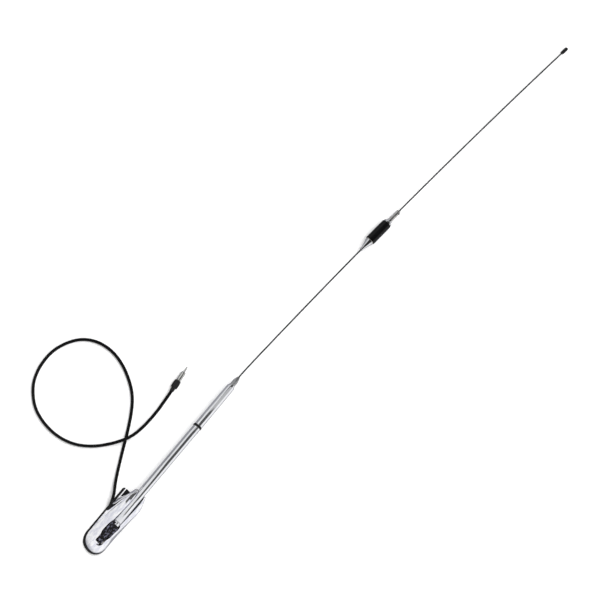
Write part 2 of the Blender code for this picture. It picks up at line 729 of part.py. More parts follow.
def make_hinge():
    for side, word in ((-1, "left"), (1, "right")):
        low, high = sorted((side * slot_half_width, side * (slot_half_width + bush_length)))
        bush = extruded(f"pivot_bush_{word}", bush_outline(bush_radius, housing_base), low, high, nylon, "X")
        drill(bush, f"bush_bore_{word}_cutter", pin_bore, low - overcut, high + overcut)

        washer_start = slot_half_width - gap if side < 0 else knuckle_half_width + gap
        start = Vector((side * washer_start, pivot.y, pivot.z))
        bore = pin_bore
        thick = washer_thickness
        profile = [(bore, 0.0), (washer_radius, 0.0), (washer_radius, thick), (bore, thick)]
        turned(f"friction_washer_{word}", profile, nylon, start, across_mast, mast_hinge, 24, True)

        clip_low = min(side * clip_start, side * (clip_start + clip_thickness))
        start = Vector((clip_low, pivot.y, pivot.z))
        profile = [(bore, 0.0), (clip_radius, 0.0), (clip_radius, clip_thickness), (bore, clip_thickness)]
        turned(f"pin_clip_{word}", profile, steel, start, across_mast, None, 20, True)

    length = 2 * pin_half_length
    pin = [
        (0.0, 0.0), (pin_radius - pin_edge, 0.0), (pin_radius, pin_edge),
        (pin_radius, length - pin_edge), (pin_radius - pin_edge, length), (0.0, length),
    ]
    start = Vector((-pin_half_length, pivot.y, pivot.z))
    turned("pivot_pin", pin, steel, start, across_mast, steps=20)

    lug = arc((pivot.y, pivot.z), clip_radius, 30.0, 330.0, 14)
    strip_end = pivot.y + terminal_length
    half_strip = clip_radius * math.sin(math.radians(30.0))
    lug += [(strip_end, pivot.z - half_strip), (strip_end, pivot.z + half_strip)]
    low = -terminal_start - terminal_thickness
    terminal = extruded("lead_terminal", lug, low, -terminal_start, nickel, "X")
    drill(terminal, "terminal_bore_cutter", pin_bore, low - overcut, -terminal_start + overcut)


def height_on(line, y):
    """Height of a row of straight stretches at a place along Y."""
    for (start, low), (end, high) in zip(line, line[1:]):
        if y <= end:
            return low + (high - low) * (y - start) / (end - start)
    return line[-1][1]


def make_knuckle():
    radius = lower_tube_radius - collar_step
    collar_start = lower_tube_start - gap - collar_length
    knuckle_end = collar_start + collar_overlap
    top_line = [(pivot.y, pivot.z + eye_radius)]
    top_line += [(collar_start + y, mast_height + height) for y, height in knuckle_top]
    top_line.append((knuckle_end, mast_height + radius - collar_edge))
    low_line = [
        (pivot.y, pivot.z - eye_radius),
        (collar_start + knuckle_low[0], mast_height - radius + knuckle_low[1]),
        (knuckle_end, mast_height - radius + collar_edge),
    ]
    sections = []
    for step in range(1, 6):
        turn = math.pi / 2 * step / 6
        y = pivot.y - eye_radius * math.cos(turn)
        rise = eye_radius * math.sin(turn)
        sections.append((y, pivot.z - rise, pivot.z + rise))
    stretches = 11
    for step in range(stretches + 1):
        y = pivot.y + (knuckle_end - pivot.y) * step / stretches
        sections.append((y, height_on(low_line, y), height_on(top_line, y)))

    build = bmesh.new()
    rings = []
    clear = slot_half_width - knuckle_half_width
    for y, low, high in sections:
        half = slot_half_at(max(y - knuckle_lag, slot_widens_from)) - clear
        edge = min(knuckle_edge, 0.4 * (high - low))
        quarter = []
        for turn in (0.0, 30.0, 60.0, 90.0):
            swing = math.radians(turn)
            quarter.append((half - edge + edge * math.cos(swing), high - edge + edge * math.sin(swing)))
        right = [(x, low + high - z) for x, z in reversed(quarter)] + quarter
        ring = right + [(-x, z) for x, z in reversed(right)]
        rings.append([build.verts.new((x, y, z)) for x, z in ring])
    for first, second in zip(rings, rings[1:]):
        for a in range(len(first)):
            b = (a + 1) % len(first)
            build.faces.new((first[a], first[b], second[b], second[a]))
    build.faces.new(rings[0])
    build.faces.new(rings[-1])
    knuckle = add_object("mast_knuckle", mesh_from(build, "mast_knuckle"), black_gloss, mast_hinge)

    spigot_radius = tube_bore - gap
    whole = collar_length + spigot_length
    profile = [
        (0.0, 0.0), (radius - collar_edge, 0.0), (radius, collar_edge), (radius, collar_length),
        (spigot_radius, collar_length), (spigot_radius, whole), (0.0, whole),
    ]
    start = Vector((0, collar_start, mast_height))
    cut(knuckle, as_cutter(turned("collar_and_spigot", profile, black_gloss, start, along_mast)), "UNION")
    drill(knuckle, "eye_bore_cutter", pin_bore, -slot_belly_half_width, slot_belly_half_width)


# Mast tubes
def make_mast():
    start = mast_axis + along_mast * lower_tube_start
    profile = tube_profile(lower_tube_radius, tube_bore, lower_tube_end - lower_tube_start, tube_edge)
    turned("lower_tube", profile, chrome, start, along_mast, mast_hinge, 32, True)

    joiner_start = ring_start + joint_ring_length / 2 - joiner_length / 2
    radius = tube_bore - gap
    profile = [(0.0, 0.0), (radius, 0.0), (radius, joiner_length), (0.0, joiner_length)]
    start = mast_axis + along_mast * joiner_start
    turned("tube_joiner", profile, black_plastic, start, along_mast, mast_hinge, 24)

    start = mast_axis + along_mast * ring_start
    profile = tube_profile(joint_ring_radius, tube_bore, joint_ring_length, joint_ring_edge)
    turned("joint_ring", profile, black_plastic, start, along_mast, mast_hinge, 32, True)

    bore_depth = joiner_start + joiner_length + gap - upper_tube_start
    whip_bore = whip_radius + gap
    shoulder = upper_tube_length - shoulder_length
    profile = [
        (tube_bore, 0.0), (upper_tube_radius - tube_edge, 0.0), (upper_tube_radius, tube_edge),
        (upper_tube_radius, taper_from_share * upper_tube_length), (upper_tube_top_radius, shoulder),
        (upper_tube_top_radius - 0.5 * mm, shoulder + 0.8 * mm), (shoulder_radius, upper_tube_length),
        (whip_bore, upper_tube_length), (whip_bore, bore_depth + 4 * mm), (tube_bore, bore_depth),
    ]
    start = mast_axis + along_mast * upper_tube_start
    turned("upper_tube", profile, chrome, start, along_mast, mast_hinge, 32, True)

    flats = ferrule_half_flats
    profile = [
        (whip_bore, 0.0), (flats, 0.0), (flats, 0.4 * mm, True), (flats, ferrule_hex_length, True),
        (flats - 0.3 * mm, ferrule_hex_length + 0.5 * mm),
        (ferrule_tip_radius + 0.8 * mm, ferrule_length - ferrule_tip_length),
        (ferrule_tip_radius, ferrule_length), (whip_bore, ferrule_length),
    ]
    start = mast_axis + along_mast * ferrule_start
    turned("whip_ferrule", profile, steel, start, along_mast, mast_hinge, 24, True)


# Whip and loading coil
def make_whip():
    foot = mast_axis + along_mast * (upper_tube_end - whip_foot_length)
    middle = mast_axis + along_mast * ferrule_start
    whip_end = on_coil(cone_length / 2)
    stretches = 16
    points = [foot, middle]
    points += [whip_point((coil_place - 4 * mm) * (step / stretches) ** 1.5) for step in range(stretches + 1)]
    rod("lower_whip", [*points, whip_end], whip_radius, steel, mast_hinge)

    inner_end = on_coil(coil_length - upper_whip_grip)
    grip_end = on_coil(coil_length - 2 * mm)
    first = coil_place + coil_length + 10 * mm
    last = whip_span - 4.0 * mm
    stretches = 14
    points = [inner_end, grip_end]
    points += [whip_point(first + (last - first) * step / stretches) for step in range(stretches + 1)]
    rod("upper_whip", points, upper_whip_radius, steel, tuning_slide)

    cap_start = whip_point(whip_span - tip_cap_length)
    cap_axis = (whip_point(whip_span) - cap_start).normalized()
    bore = upper_whip_radius + gap
    full = tip_cap_radius
    rounded_from = tip_cap_length - tip_cap_end_length
    profile = [(bore, 0.0), (full - 0.6 * mm, 0.0), (full, 0.8 * mm), (full, rounded_from)]
    for turn in (30.0, 60.0):
        swing = math.radians(turn)
        profile.append((full * math.cos(swing), rounded_from + tip_cap_end_length * math.sin(swing)))
    bore_end = tip_cap_length - tip_cap_end_wall + gap
    profile += [(0.0, tip_cap_length), (0.0, bore_end), (bore, bore_end)]
    turned("tip_cap", profile, black_plastic, cap_start, cap_axis, tuning_slide, 24, True)


def make_coil():
    whip_bore = whip_radius + gap
    cone_bore_end = cone_length / 2 + gap
    profile = [
        (whip_bore, 0.0), (cone_neck_radius - 0.3 * mm, 0.0), (cone_neck_radius, 0.3 * mm),
        (cone_neck_radius, cone_neck_length), (cone_neck_radius + 1.0 * mm, cone_neck_length + 3 * mm),
        (cone_radius - 1.2 * mm, cone_length - 2 * cone_rim_length),
        (cone_radius, cone_length - cone_rim_length), (cone_radius, cone_length),
        (0.0, cone_length), (0.0, cone_bore_end), (whip_bore, cone_bore_end),
    ]
    turned("coil_cone", profile, chrome, on_coil(0.0), coil_axis, mast_hinge, 32, True)

    sleeve_start = cone_length + gap
    bore = sleeve_radius - sleeve_wall
    profile = tube_profile(sleeve_radius, bore, sleeve_length, 0.8 * mm)
    turned("coil_sleeve", profile, black_plastic, on_coil(sleeve_start), coil_axis, mast_hinge, 36, True)

    end_disc = bore - gap
    thick = former_end_length
    profile = [
        (0.0, 0.0), (end_disc, 0.0), (end_disc, thick), (former_radius, thick),
        (former_radius, sleeve_length - thick), (end_disc, sleeve_length - thick), (end_disc, sleeve_length),
        (0.0, sleeve_length),
    ]
    turned("coil_former", profile, nylon, on_coil(sleeve_start), coil_axis, mast_hinge, 24)

    winding_start = sleeve_start + winding_from_end
    pitch = (sleeve_length - 2 * winding_from_end) / winding_turns
    per_turn = 10
    place = pointing(on_coil(winding_start), coil_axis)
    points = []
    for step in range(winding_turns * per_turn + 1):
        turn = 2.0 * math.pi * step / per_turn
        x = winding_radius * math.cos(turn)
        y = winding_radius * math.sin(turn)
        points.append(place @ Vector((x, y, pitch * step / per_turn)))
    rod("coil_winding", points, wire_radius, copper, mast_hinge, 1)

    cap_start = sleeve_start + sleeve_length + gap
    tip_bore = upper_whip_radius + gap
    bore_end = coil_length - upper_whip_grip - tuning_travel_in - gap - cap_start
    profile = [
        (0.0, 0.0), (cap_radius, 0.0), (cap_radius, cap_rim_length),
        (cap_radius - 1.4 * mm, cap_rim_length + 1.6 * mm), (cap_neck_radius, cap_rim_length + 2.8 * mm),
        (cap_neck_radius, cap_length), (tip_bore, cap_length), (tip_bore, bore_end), (0.0, bore_end),
    ]
    turned("coil_cap", profile, chrome, on_coil(cap_start), coil_axis, mast_hinge, 32, True)

    adapter_start = cap_start + cap_length + gap
    length = coil_length - adapter_start
    step_at = adapter_neck_share * length
    neck_end = step_at + adapter_neck_length
    profile = [
        (tip_bore, 0.0), (adapter_radius, 0.0), (adapter_radius, step_at - 0.5 * mm),
        (adapter_neck_radius, step_at), (adapter_neck_radius, neck_end),
        (adapter_radius, neck_end + 0.5 * mm), (adapter_radius, length - 1 * mm),
        (adapter_radius - 0.8 * mm, length), (tip_bore, length),
    ]
    adapter = turned("tip_adapter", profile, nickel, on_coil(adapter_start), coil_axis, mast_hinge, 32, True)
    coil_up = across_mast.cross(coil_axis).normalized()
    screw_out = across_mast * set_screw_lean[0] + coil_up * set_screw_lean[1]
    screw_out = (screw_out - coil_axis * screw_out.dot(coil_axis)).normalized()
    centre = on_coil(coil_length - set_screw_from_end)
    start = centre + screw_out * (upper_whip_radius + gap)
    radius = set_screw_radius + gap
    cut(adapter, cutting_cylinder("set_screw_hole_cutter", radius, centre, screw_out, 2 * adapter_radius, 16))
    radius = set_screw_radius
    profile = [(0.0, 0.0), (radius, 0.0), (radius, set_screw_length), (0.0, set_screw_length)]
    turned("set_screw", profile, black_steel, start, screw_out, mast_hinge, 16)


# Coaxial lead
def make_lead():
    inner_end = boot_wall_point - boot_direction * boot_inside
    outer_end = boot_wall_point + boot_direction * boot_outside
    whole = boot_inside + boot_outside
    taper_from = boot_inside + boot_plain_length
    profile = [(0.0, 0.0), (boot_radius, 0.0), (boot_radius, taper_from)]
    rib_pitch = (whole - taper_from - boot_lip_length) / boot_ribs
    for rib in range(boot_ribs):
        at = taper_from + rib_pitch * rib
        wide = boot_radius + (boot_tip_radius - boot_radius) * (rib + 0.5) / boot_ribs
        narrow = wide - boot_rib_depth
        profile += [(narrow, at + 0.5 * mm), (narrow, at + 1.5 * mm)]
        profile += [(wide, at + 2.0 * mm), (wide, at + rib_pitch)]
    profile += [(boot_tip_radius, whole), (0.0, whole)]
    turned("cable_boot", profile, jacket, inner_end, boot_direction, None, 20)

    tail_start = inner_end - boot_direction * gap
    turn_in = tail_start - boot_direction * 3.0 * mm
    straight_from = tail_end + along_mast * (braid_ferrule_length + 4 * mm)
    ferrule_top = tail_end + along_mast * (braid_ferrule_length + 1 * mm)
    tail = smooth_path([tail_start, turn_in, straight_from, ferrule_top, tail_end], hidden_lead_spacing)
    rod("coax_tail", tail, cable_radius, jacket)

    start = Vector((tail_end.x, tail_end.y + 0.5 * mm, tail_end.z))
    profile = tube_profile(braid_ferrule_radius, cable_radius + gap, braid_ferrule_length, 0.1 * mm)
    turned("braid_ferrule", profile, nickel, start, along_mast, None, 24, True)

    lug_end = Vector((-terminal_start - terminal_thickness / 2, pivot.y + terminal_length + gap, pivot.z))
    core_end = tail_end - along_mast * 2 * gap
    core = [lug_end]
    stretches = 5
    for step in range(1, stretches):
        spot = lug_end.lerp(core_end, step / stretches)
        beside_slot = -slot_half_at(spot.y) - slot_wall - core_radius - gap
        spot.x = min(spot.x, beside_slot)
        core.append(spot)
    rod("coax_core", smooth_path([*core, core_end], hidden_lead_spacing), core_radius, nylon)

    exit_point = outer_end + boot_direction * gap
    after = exit_point + boot_direction * 6.0 * mm
    after.z -= 0.3 * mm
    route = [exit_point, after]
    for number, (x, y) in enumerate(cable_route):
        spot = Vector((boot_wall_point.x + x * mm, boot_wall_point.y + y * mm, cable_height))
        travelled = (spot.xy - exit_point.xy).length
        if number < 6 and travelled < fall_length:
            spot.z += (exit_point.z - cable_height) * math.cos(travelled / fall_length * math.pi / 2) ** 2
        away = (spot.xy - boot_wall_point.xy - crossing).length
        if number > 12 and away < over_pass_reach:
            spot.z += over_pass_height * math.cos(away / over_pass_reach * math.pi / 2) ** 2
        route.append(spot)
    plug_end = plug_place - plug_direction * gap
    route[-1].z = cable_height + 0.5 * (plug_end.z - cable_height)
    route += [plug_end - plug_direction * 5.0 * mm, plug_end]
    lead = smooth_path(route, cable_spacing)
    for spot in lead:
        spot.z = max(spot.z, cable_height)  # it lies on the surface, never in it
    rod("coax_cable", lead, cable_radius, jacket)


# Plug
def on_plug(along):
    return plug_place + plug_direction * along


def make_plug():
    edge = 0.8 * mm
    profile = [
        (0.0, 0.0), (tail_radius - edge, 0.0), (tail_radius, edge),
        (tail_radius, tail_length), (0.0, tail_length),
    ]
    turned("plug_tail", profile, black_plastic, on_plug(0.0), plug_direction, None, 20)

    edge = grip_edge
    profile = [
        (0.0, 0.0), (grip_radius - edge, 0.0), (grip_radius, edge), (grip_radius, grip_length - edge),
        (grip_radius - edge, grip_length), (0.0, grip_length),
    ]
    grip_start = tail_length + gap
    turned("plug_grip", profile, black_plastic, on_plug(grip_start), plug_direction, None, 28)

    barrel_start = grip_start + grip_length + gap
    open_radius = barrel_radius - barrel_lip
    inner_radius = open_radius - barrel_wall
    depth_at = barrel_length - barrel_depth
    profile = [
        (0.0, 0.0), (barrel_radius - 0.5 * mm, 0.0), (barrel_radius, 0.8 * mm),
        (barrel_radius, barrel_length - barrel_lip_length), (open_radius, barrel_length),
        (inner_radius, barrel_length), (inner_radius, depth_at), (0.0, depth_at),
    ]
    turned("plug_barrel", profile, nickel, on_plug(barrel_start), plug_direction, None, 28)

    insulator_start = barrel_start + depth_at + gap
    radius = inner_radius - gap
    profile = [(0.0, 0.0), (radius, 0.0), (radius, insulator_length), (0.0, insulator_length)]
    turned("plug_insulator", profile, nylon, on_plug(insulator_start), plug_direction, None, 20)

    pin_start = insulator_start + insulator_length + gap
    length = plug_pin_length
    radius = plug_pin_radius
    end_from = length - plug_pin_end_length
    profile = [
        (0.0, 0.0), (radius, 0.0), (radius, end_from), (radius * 0.75, end_from + 1 * mm), (0.0, length),
    ]
    turned("plug_pin", profile, nickel, on_plug(pin_start), plug_direction, None, 20)


make_pad()
make_plate()
make_housing()
make_hinge()
make_knuckle()
make_mast()
make_whip()
make_coil()
make_lead()
make_plug()
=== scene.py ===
import json
import math

import bmesh
import bpy
from mathutils import Matrix, Vector


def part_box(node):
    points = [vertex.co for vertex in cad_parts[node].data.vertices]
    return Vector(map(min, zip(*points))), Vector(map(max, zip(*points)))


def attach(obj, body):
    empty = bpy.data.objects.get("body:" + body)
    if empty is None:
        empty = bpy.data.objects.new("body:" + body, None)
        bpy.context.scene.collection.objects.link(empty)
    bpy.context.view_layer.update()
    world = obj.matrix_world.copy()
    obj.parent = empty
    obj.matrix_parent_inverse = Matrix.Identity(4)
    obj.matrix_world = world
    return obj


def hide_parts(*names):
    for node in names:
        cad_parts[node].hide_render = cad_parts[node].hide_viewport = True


# Motorcycle radio antenna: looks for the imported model. Lengths are written in millimetres times mm.
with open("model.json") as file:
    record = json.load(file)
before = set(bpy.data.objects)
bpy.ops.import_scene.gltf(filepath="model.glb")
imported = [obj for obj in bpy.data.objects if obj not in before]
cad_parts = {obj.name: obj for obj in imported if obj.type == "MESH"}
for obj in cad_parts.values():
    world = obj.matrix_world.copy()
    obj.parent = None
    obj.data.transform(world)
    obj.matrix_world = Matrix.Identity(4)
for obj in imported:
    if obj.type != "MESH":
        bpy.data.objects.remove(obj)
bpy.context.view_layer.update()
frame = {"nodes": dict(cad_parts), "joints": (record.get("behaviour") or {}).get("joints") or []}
mm = 0.001
scene = bpy.context.scene
alongMast = Vector((0, 1, 0))
mastHeight = 21 * mm  # of the axis of the folded mast
print("frame loaded:", len(frame["nodes"]), "nodes")


# Tools for materials
def linear(hexColour):
    parts = [int(hexColour[i:i + 2], 16) / 255 for i in (1, 3, 5)]
    return [p / 12.92 if p <= 0.04045 else ((p + 0.055) / 1.055) ** 2.4 for p in parts] + [1.0]


def put(tree, kind, inputs=None, stops=(), **settings):
    # adds one node with its settings, inputs and the stops of a ramp, and gives its outputs
    made = tree.nodes.new(kind)
    for name, value in settings.items():
        setattr(made, name, value)
    for name, value in (inputs or {}).items():
        if isinstance(value, bpy.types.NodeSocket):
            tree.links.new(value, made.inputs[name])
        else:
            made.inputs[name].default_value = value
    for number, (place, colour) in enumerate(stops):
        points = made.color_ramp.elements
        point = points[number] if number < len(points) else points.new(place)
        point.position = place
        point.color = colour
    return made.outputs


def ranged(low, high, side="To"):  # the ends of a range for a Map Range node
    return {side + " Min": low, side + " Max": high}


def startMaterial(name, settings):  # a Principled shader with constant settings on its own sockets
    material = bpy.data.materials.new(name)
    material.use_nodes = True
    shader = material.node_tree.nodes["Principled BSDF"]
    for socket, value in settings.items():
        shader.inputs[socket].default_value = value
    return material, material.node_tree, shader


def pattern(tree, size, detail=3.0, stretch=(1, 1, 1)):  # noise on the piece's axes, size in millimetres
    place = put(tree, "ShaderNodeTexCoord")["Object"]
    place = put(tree, "ShaderNodeMapping", {"Vector": place, "Scale": stretch})["Vector"]
    noise = {"Vector": place, "Scale": 1 / (size * mm), "Detail": detail}
    return put(tree, "ShaderNodeTexNoise", noise)["Fac"]


def applyLook(material, look, tone, grain, relief=None):
    # tone picks the colour, grain the roughness and relief the height
    tree = material.node_tree
    shader = tree.nodes["Principled BSDF"]
    stops = zip(look.get("stops", (0.3, 0.7)), map(linear, look["colours"]))
    tint = put(tree, "ShaderNodeValToRGB", {"Fac": tone}, stops)["Color"]
    rough = put(tree, "ShaderNodeMapRange", {"Value": grain, **ranged(*look["roughness"])})["Result"]
    height = {"Height": grain if relief is None else relief, "Distance": look["depth"] * mm, "Strength": 1.0}
    normal = put(tree, "ShaderNodeBump", height)["Normal"]
    for socket, value in (("Base Color", tint), ("Roughness", rough), ("Normal", normal)):
        tree.links.new(value, shader.inputs[socket])
    return material


# Materials. A look's sizes and depths are in millimetres, and its roughness runs from one value to another.
def polishedCastChrome():  # nickel and chrome over a buffed zinc casting: a hazy mirror with a soft wave
    look = {"colours": ("#E1E2EC", "#F8F8FA"), "stops": (0.38, 0.62), "roughness": (0.045, 0.11),
            "depth": 0.02, "haze": 5, "stretch": (1, 0.4, 1), "wave": 16}
    material, tree, _ = startMaterial("polishedCastChrome", {"Metallic": 1.0})
    haze = pattern(tree, look["haze"], 4.0, look["stretch"])
    return applyLook(material, look, haze, haze, pattern(tree, look["wave"], 1.0))


def turnedMetal(name, colours, roughness, axis, pitch, depth):  # fine rings left by the lathe
    look = {"colours": colours, "roughness": roughness, "depth": depth, "haze": 3}
    material, tree, _ = startMaterial(name, {"Metallic": 1.0})
    place = put(tree, "ShaderNodeTexCoord")["Object"]
    turn = axis.rotation_difference(Vector((1, 0, 0))).to_euler()
    local = put(tree, "ShaderNodeMapping", {"Vector": place, "Rotation": turn})["Vector"]
    wave = {"Vector": local, "Scale": 1 / (20 * pitch * mm), "Distortion": 1.5, "Detail": 2.0}
    rings = put(tree, "ShaderNodeTexWave", wave, bands_direction="X")["Fac"]
    haze = pattern(tree, look["haze"], 4.0)
    return applyLook(material, look, haze, haze, rings)


def patterned(name, colours, grain, depth, roughness, settings=None, tone=None, detail=3.0,
              stretch=(1, 1, 1)):
    # a fine grain, or lines where it is stretched, over a slow change of tone
    look = {"colours": colours, "roughness": roughness, "depth": depth}
    material, tree, _ = startMaterial(name, settings or {"Specular IOR Level": 0.3})
    slow = pattern(tree, tone or grain * 24, detail)
    return applyLook(material, look, slow, pattern(tree, grain, detail, stretch))


def coatedPlate():  # black powder coat, with a painted highlight: a pale line along each long edge
    look = {"colours": ("#0B0B0C", "#131315"), "roughness": (0.35, 0.55), "depth": 0.03, "grain": 0.45,
            "tone": 11, "highlightColour": "#F2F2F4", "highlightStrength": (0.8, 1.6), "highlightAt": 22.9, "highlightHalf": 1.1,
            "highlightFrom": 10}
    material, tree, shader = startMaterial("powderCoatedSteel", {"Specular IOR Level": 0.3})
    slow = pattern(tree, look["tone"])
    applyLook(material, look, slow, pattern(tree, look["grain"]))
    # a pale band at a set distance from the middle, along each long edge past a set place along the plate: a
    # painted highlight, dimmed in places by the slow tone
    place = put(tree, "ShaderNodeTexCoord")["Object"]
    part = put(tree, "ShaderNodeSeparateXYZ", {"Vector": place})
    side = put(tree, "ShaderNodeMath", {0: part["X"]}, operation="ABSOLUTE")[0]
    near = {0: side, 1: look["highlightAt"] * mm, 2: look["highlightHalf"] * mm}
    band = put(tree, "ShaderNodeMath", near, operation="COMPARE")[0]
    far = put(tree, "ShaderNodeMath", {0: part["Y"], 1: look["highlightFrom"] * mm}, operation="GREATER_THAN")[0]
    line = put(tree, "ShaderNodeMath", {0: band, 1: far}, operation="MULTIPLY")[0]
    highlightStrength = put(tree, "ShaderNodeMapRange", {"Value": slow, **ranged(*look["highlightStrength"])})["Result"]
    paintedHighlight = put(tree, "ShaderNodeMath", {0: line, 1: highlightStrength}, operation="MULTIPLY", use_clamp=True)[0]
    colours = {"Factor": paintedHighlight, 6: shader.inputs["Base Color"].links[0].from_socket, 7: linear(look["highlightColour"])}
    tree.links.new(put(tree, "ShaderNodeMix", colours, data_type="RGBA")[2], shader.inputs["Base Color"])
    return material


def enamelWearAndGlints():  # black enamel on a zinc casting, rubbed through in small metallic spots, whose bluish tint also makes them painted glints
    look = {"colours": ("#060607", "#8C8CA2"), "stops": (0.0, 1.0), "roughness": (0.1, 0.24), "depth": 0.012,
            "grain": 0.9, "spots": 3, "stretch": (1, 0.45, 1), "wearAndGlint": (0.52, 0.74)}
    material, tree, shader = startMaterial("glossEnamelOnZinc", {"Specular IOR Level": 0.16})
    # small bluish metallic spots: partly worn-through zinc, partly painted glints
    spots = pattern(tree, look["spots"], 3.0, look["stretch"])
    wearAndGlint = put(tree, "ShaderNodeMapRange", {"Value": spots, **ranged(*look["wearAndGlint"], "From")})["Result"]
    tree.links.new(wearAndGlint, shader.inputs["Metallic"])
    return applyLook(material, look, wearAndGlint, pattern(tree, look["grain"]))


def extrudedJacket():  # PVC with a soft shine and a faint change of tone
    look = {"colours": ("#040405", "#0B0B0C"), "roughness": (0.2, 0.32), "depth": 0.02, "grain": 0.7,
            "tone": 40}
    material, tree, _ = startMaterial("extrudedJacket", {"Specular IOR Level": 0.13})
    length = put(tree, "ShaderNodeAttribute", attribute_name="along")["Fac"]
    noise = {"W": length, "Scale": 1 / (look["tone"] * mm), "Detail": 2.0}
    tone = put(tree, "ShaderNodeTexNoise", noise, noise_dimensions="1D")["Fac"]
    return applyLook(material, look, tone, pattern(tree, look["grain"]))


coilAxis = Vector(next(j for j in frame["joints"] if j["name"] == "tuning")["axis"]).normalized()
plugAxis = Vector((-0.124, 0.992, 0.0)).normalized()
metal = {"Metallic": 1.0}
gloss = {"Specular IOR Level": 0.16, "Coat Weight": 0.05, "Coat Roughness": 0.1}
castChrome = polishedCastChrome()
knuckleBlack = enamelWearAndGlints()
plateBlack = coatedPlate()
jacketPvc = extrudedJacket()
turnedChrome = turnedMetal("turnedBrassChrome", ("#D8D9DC", "#E3E4E6"), (0.06, 0.13), coilAxis, 0.5, 0.003)
turnedNickel = turnedMetal("turnedBrassNickel", ("#CECDCA", "#DEDDDB"), (0.36, 0.48), coilAxis, 0.4, 0.006)
plugNickel = turnedMetal("drawnBrassNickel", ("#BFBFBC", "#D2D2CF"), (0.05, 0.11), plugAxis, 0.4, 0.004)
ferruleSteel = turnedMetal("turnedStainless", ("#A2A3A4", "#BBBCBD"), (0.32, 0.44), alongMast, 0.4, 0.008)
# chrome with faint buffing lines round the tube, and ground wire with fine lines along it
tubeChrome = patterned("drawnTubeChrome", ("#E4E5E9", "#EEEFF2"), 0.8, 0.0015, (0.05, 0.13), metal, 22, 3.0,
                       (0.12, 1, 0.12))
wireSteel = patterned("springSteelWire", ("#4E5052", "#606264"), 0.5, 0.004, (0.2, 0.36), metal, 30, 2.0,
                      (1, 0.05, 1))
# moulded, extruded and plated surfaces, with a grain of up to 0.7 mm
padRubber = patterned("mouldedRubber", ("#171717", "#212120"), 0.6, 0.03, (0.6, 0.85))
bootVinyl = patterned("mouldedVinyl", ("#0C0C0D", "#141415"), 0.5, 0.015, (0.42, 0.58))
plugPlastic = patterned("mouldedPhenolic", ("#131314", "#1D1D1F"), 0.4, 0.012, (0.34, 0.5))
sleevePlastic = patterned("extrudedAcetal", ("#070708", "#0E0E0F"), 0.5, 0.008, (0.16, 0.28), gloss)
ringPlastic = patterned("mouldedNylonBlack", ("#0F0F10", "#19191A"), 0.4, 0.01, (0.3, 0.45))
capVinyl = patterned("dippedVinyl", ("#0F0F10", "#181819"), 0.7, 0.015, (0.3, 0.45))
nylonWhite = patterned("turnedNylon", ("#D5D2C6", "#E2DFD4"), 0.4, 0.01, (0.4, 0.55))
hiddenSteel = patterned("zincPlatedSteel", ("#8F9496", "#A9AEAF"), 0.5, 0.006, (0.25, 0.4), metal)
oxideBlack = patterned("blackOxideSteel", ("#1B1B1C", "#2A2A2B"), 0.3, 0.006, (0.3, 0.45), metal)
copperWire = patterned("enamelledCopper", ("#9A5227", "#B4683A"), 0.4, 0.004, (0.2, 0.3), metal)
print("materials made:", len(bpy.data.materials))


# Tools for shapes
def placed(name, data):  # an object in the scene for a mesh, curve, light or camera
    made = bpy.data.objects.new(name, data)
    scene.collection.objects.link(made)
    return made


def smoothed(mesh, sharpAngle):
    mesh.shade_smooth()
    mesh.set_sharp_from_angle(angle=math.radians(sharpAngle))


def finished(name, build, material, sharpAngle=35.0):  # a bmesh made a piece at the origin
    bmesh.ops.remove_doubles(build, verts=build.verts, dist=0.002 * mm)
    bmesh.ops.recalc_face_normals(build, faces=build.faces)
    mesh = bpy.data.meshes.new(name)
    build.to_mesh(mesh)
    build.free()
    smoothed(mesh, sharpAngle)
    mesh.materials.append(material)
    return placed(name, mesh)


def addPieces(body, *rows):  # each row is a piece, its node and its slot; the slot is not used
    for made, node, slot in rows:
        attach(made, body)
        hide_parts(node)
        print("made:", made.name)


def skin(build, rings, closed=True):  # faces between neighbouring rings
    for first, second in zip(rings, rings[1:]):
        for a in range(len(first) if closed else len(first) - 1):
            b = (a + 1) % len(first)
            build.faces.new((first[a], first[b], second[b], second[a]))


def bend(first, corner, last, steps):  # a rounded corner between two points
    shares = [step / steps for step in range(steps + 1)]
    return [first * (1 - t) ** 2 + corner * 2 * t * (1 - t) + last * t ** 2 for t in shares]


def eased(profile, radius, steps=4, room=0.45):  # every inner corner of an open profile rounded
    points = [profile[0]]
    for before, corner, after in zip(profile, profile[1:], profile[2:]):
        sides = [before - corner, after - corner]
        ends = [corner + side.normalized() * min(radius, side.length * room) for side in sides]
        points += bend(ends[0], corner, ends[1], steps)
    return [*points, profile[-1]]


def pointing(start, direction):
    return Matrix.Translation(start) @ direction.to_track_quat("Z", "Y").to_matrix().to_4x4()


def turned(name, profile, material, start, direction, sides=72, edge=0.35, hexUpTo=0.0, hexFrom=0.3,
           point=1.12):
    # from (radius, distance) pairs in millimetres, and a hexagon from hexFrom to hexUpTo
    build = bmesh.new()
    rings = []
    for radius, far in eased([Vector(pair) * mm for pair in profile], edge * mm):
        ring = []
        for side in range(sides):
            turn = 2 * math.pi * side / sides
            reach = radius
            if hexFrom * mm < far < hexUpTo * mm:
                reach *= min(1 / math.cos(turn % (math.pi / 3) - math.pi / 6), point)
            ring.append(build.verts.new((reach * math.cos(turn), reach * math.sin(turn), far)))
        rings.append(ring)
    skin(build, rings)
    if profile[0] == profile[-1]:  # a bore right through it
        bmesh.ops.remove_doubles(build, verts=rings[0] + rings[-1], dist=0.001 * mm)
    else:
        build.faces.new(rings[0])
        build.faces.new(rings[-1])
    bmesh.ops.transform(build, matrix=pointing(start, direction), verts=build.verts)
    return finished(name, build, material)


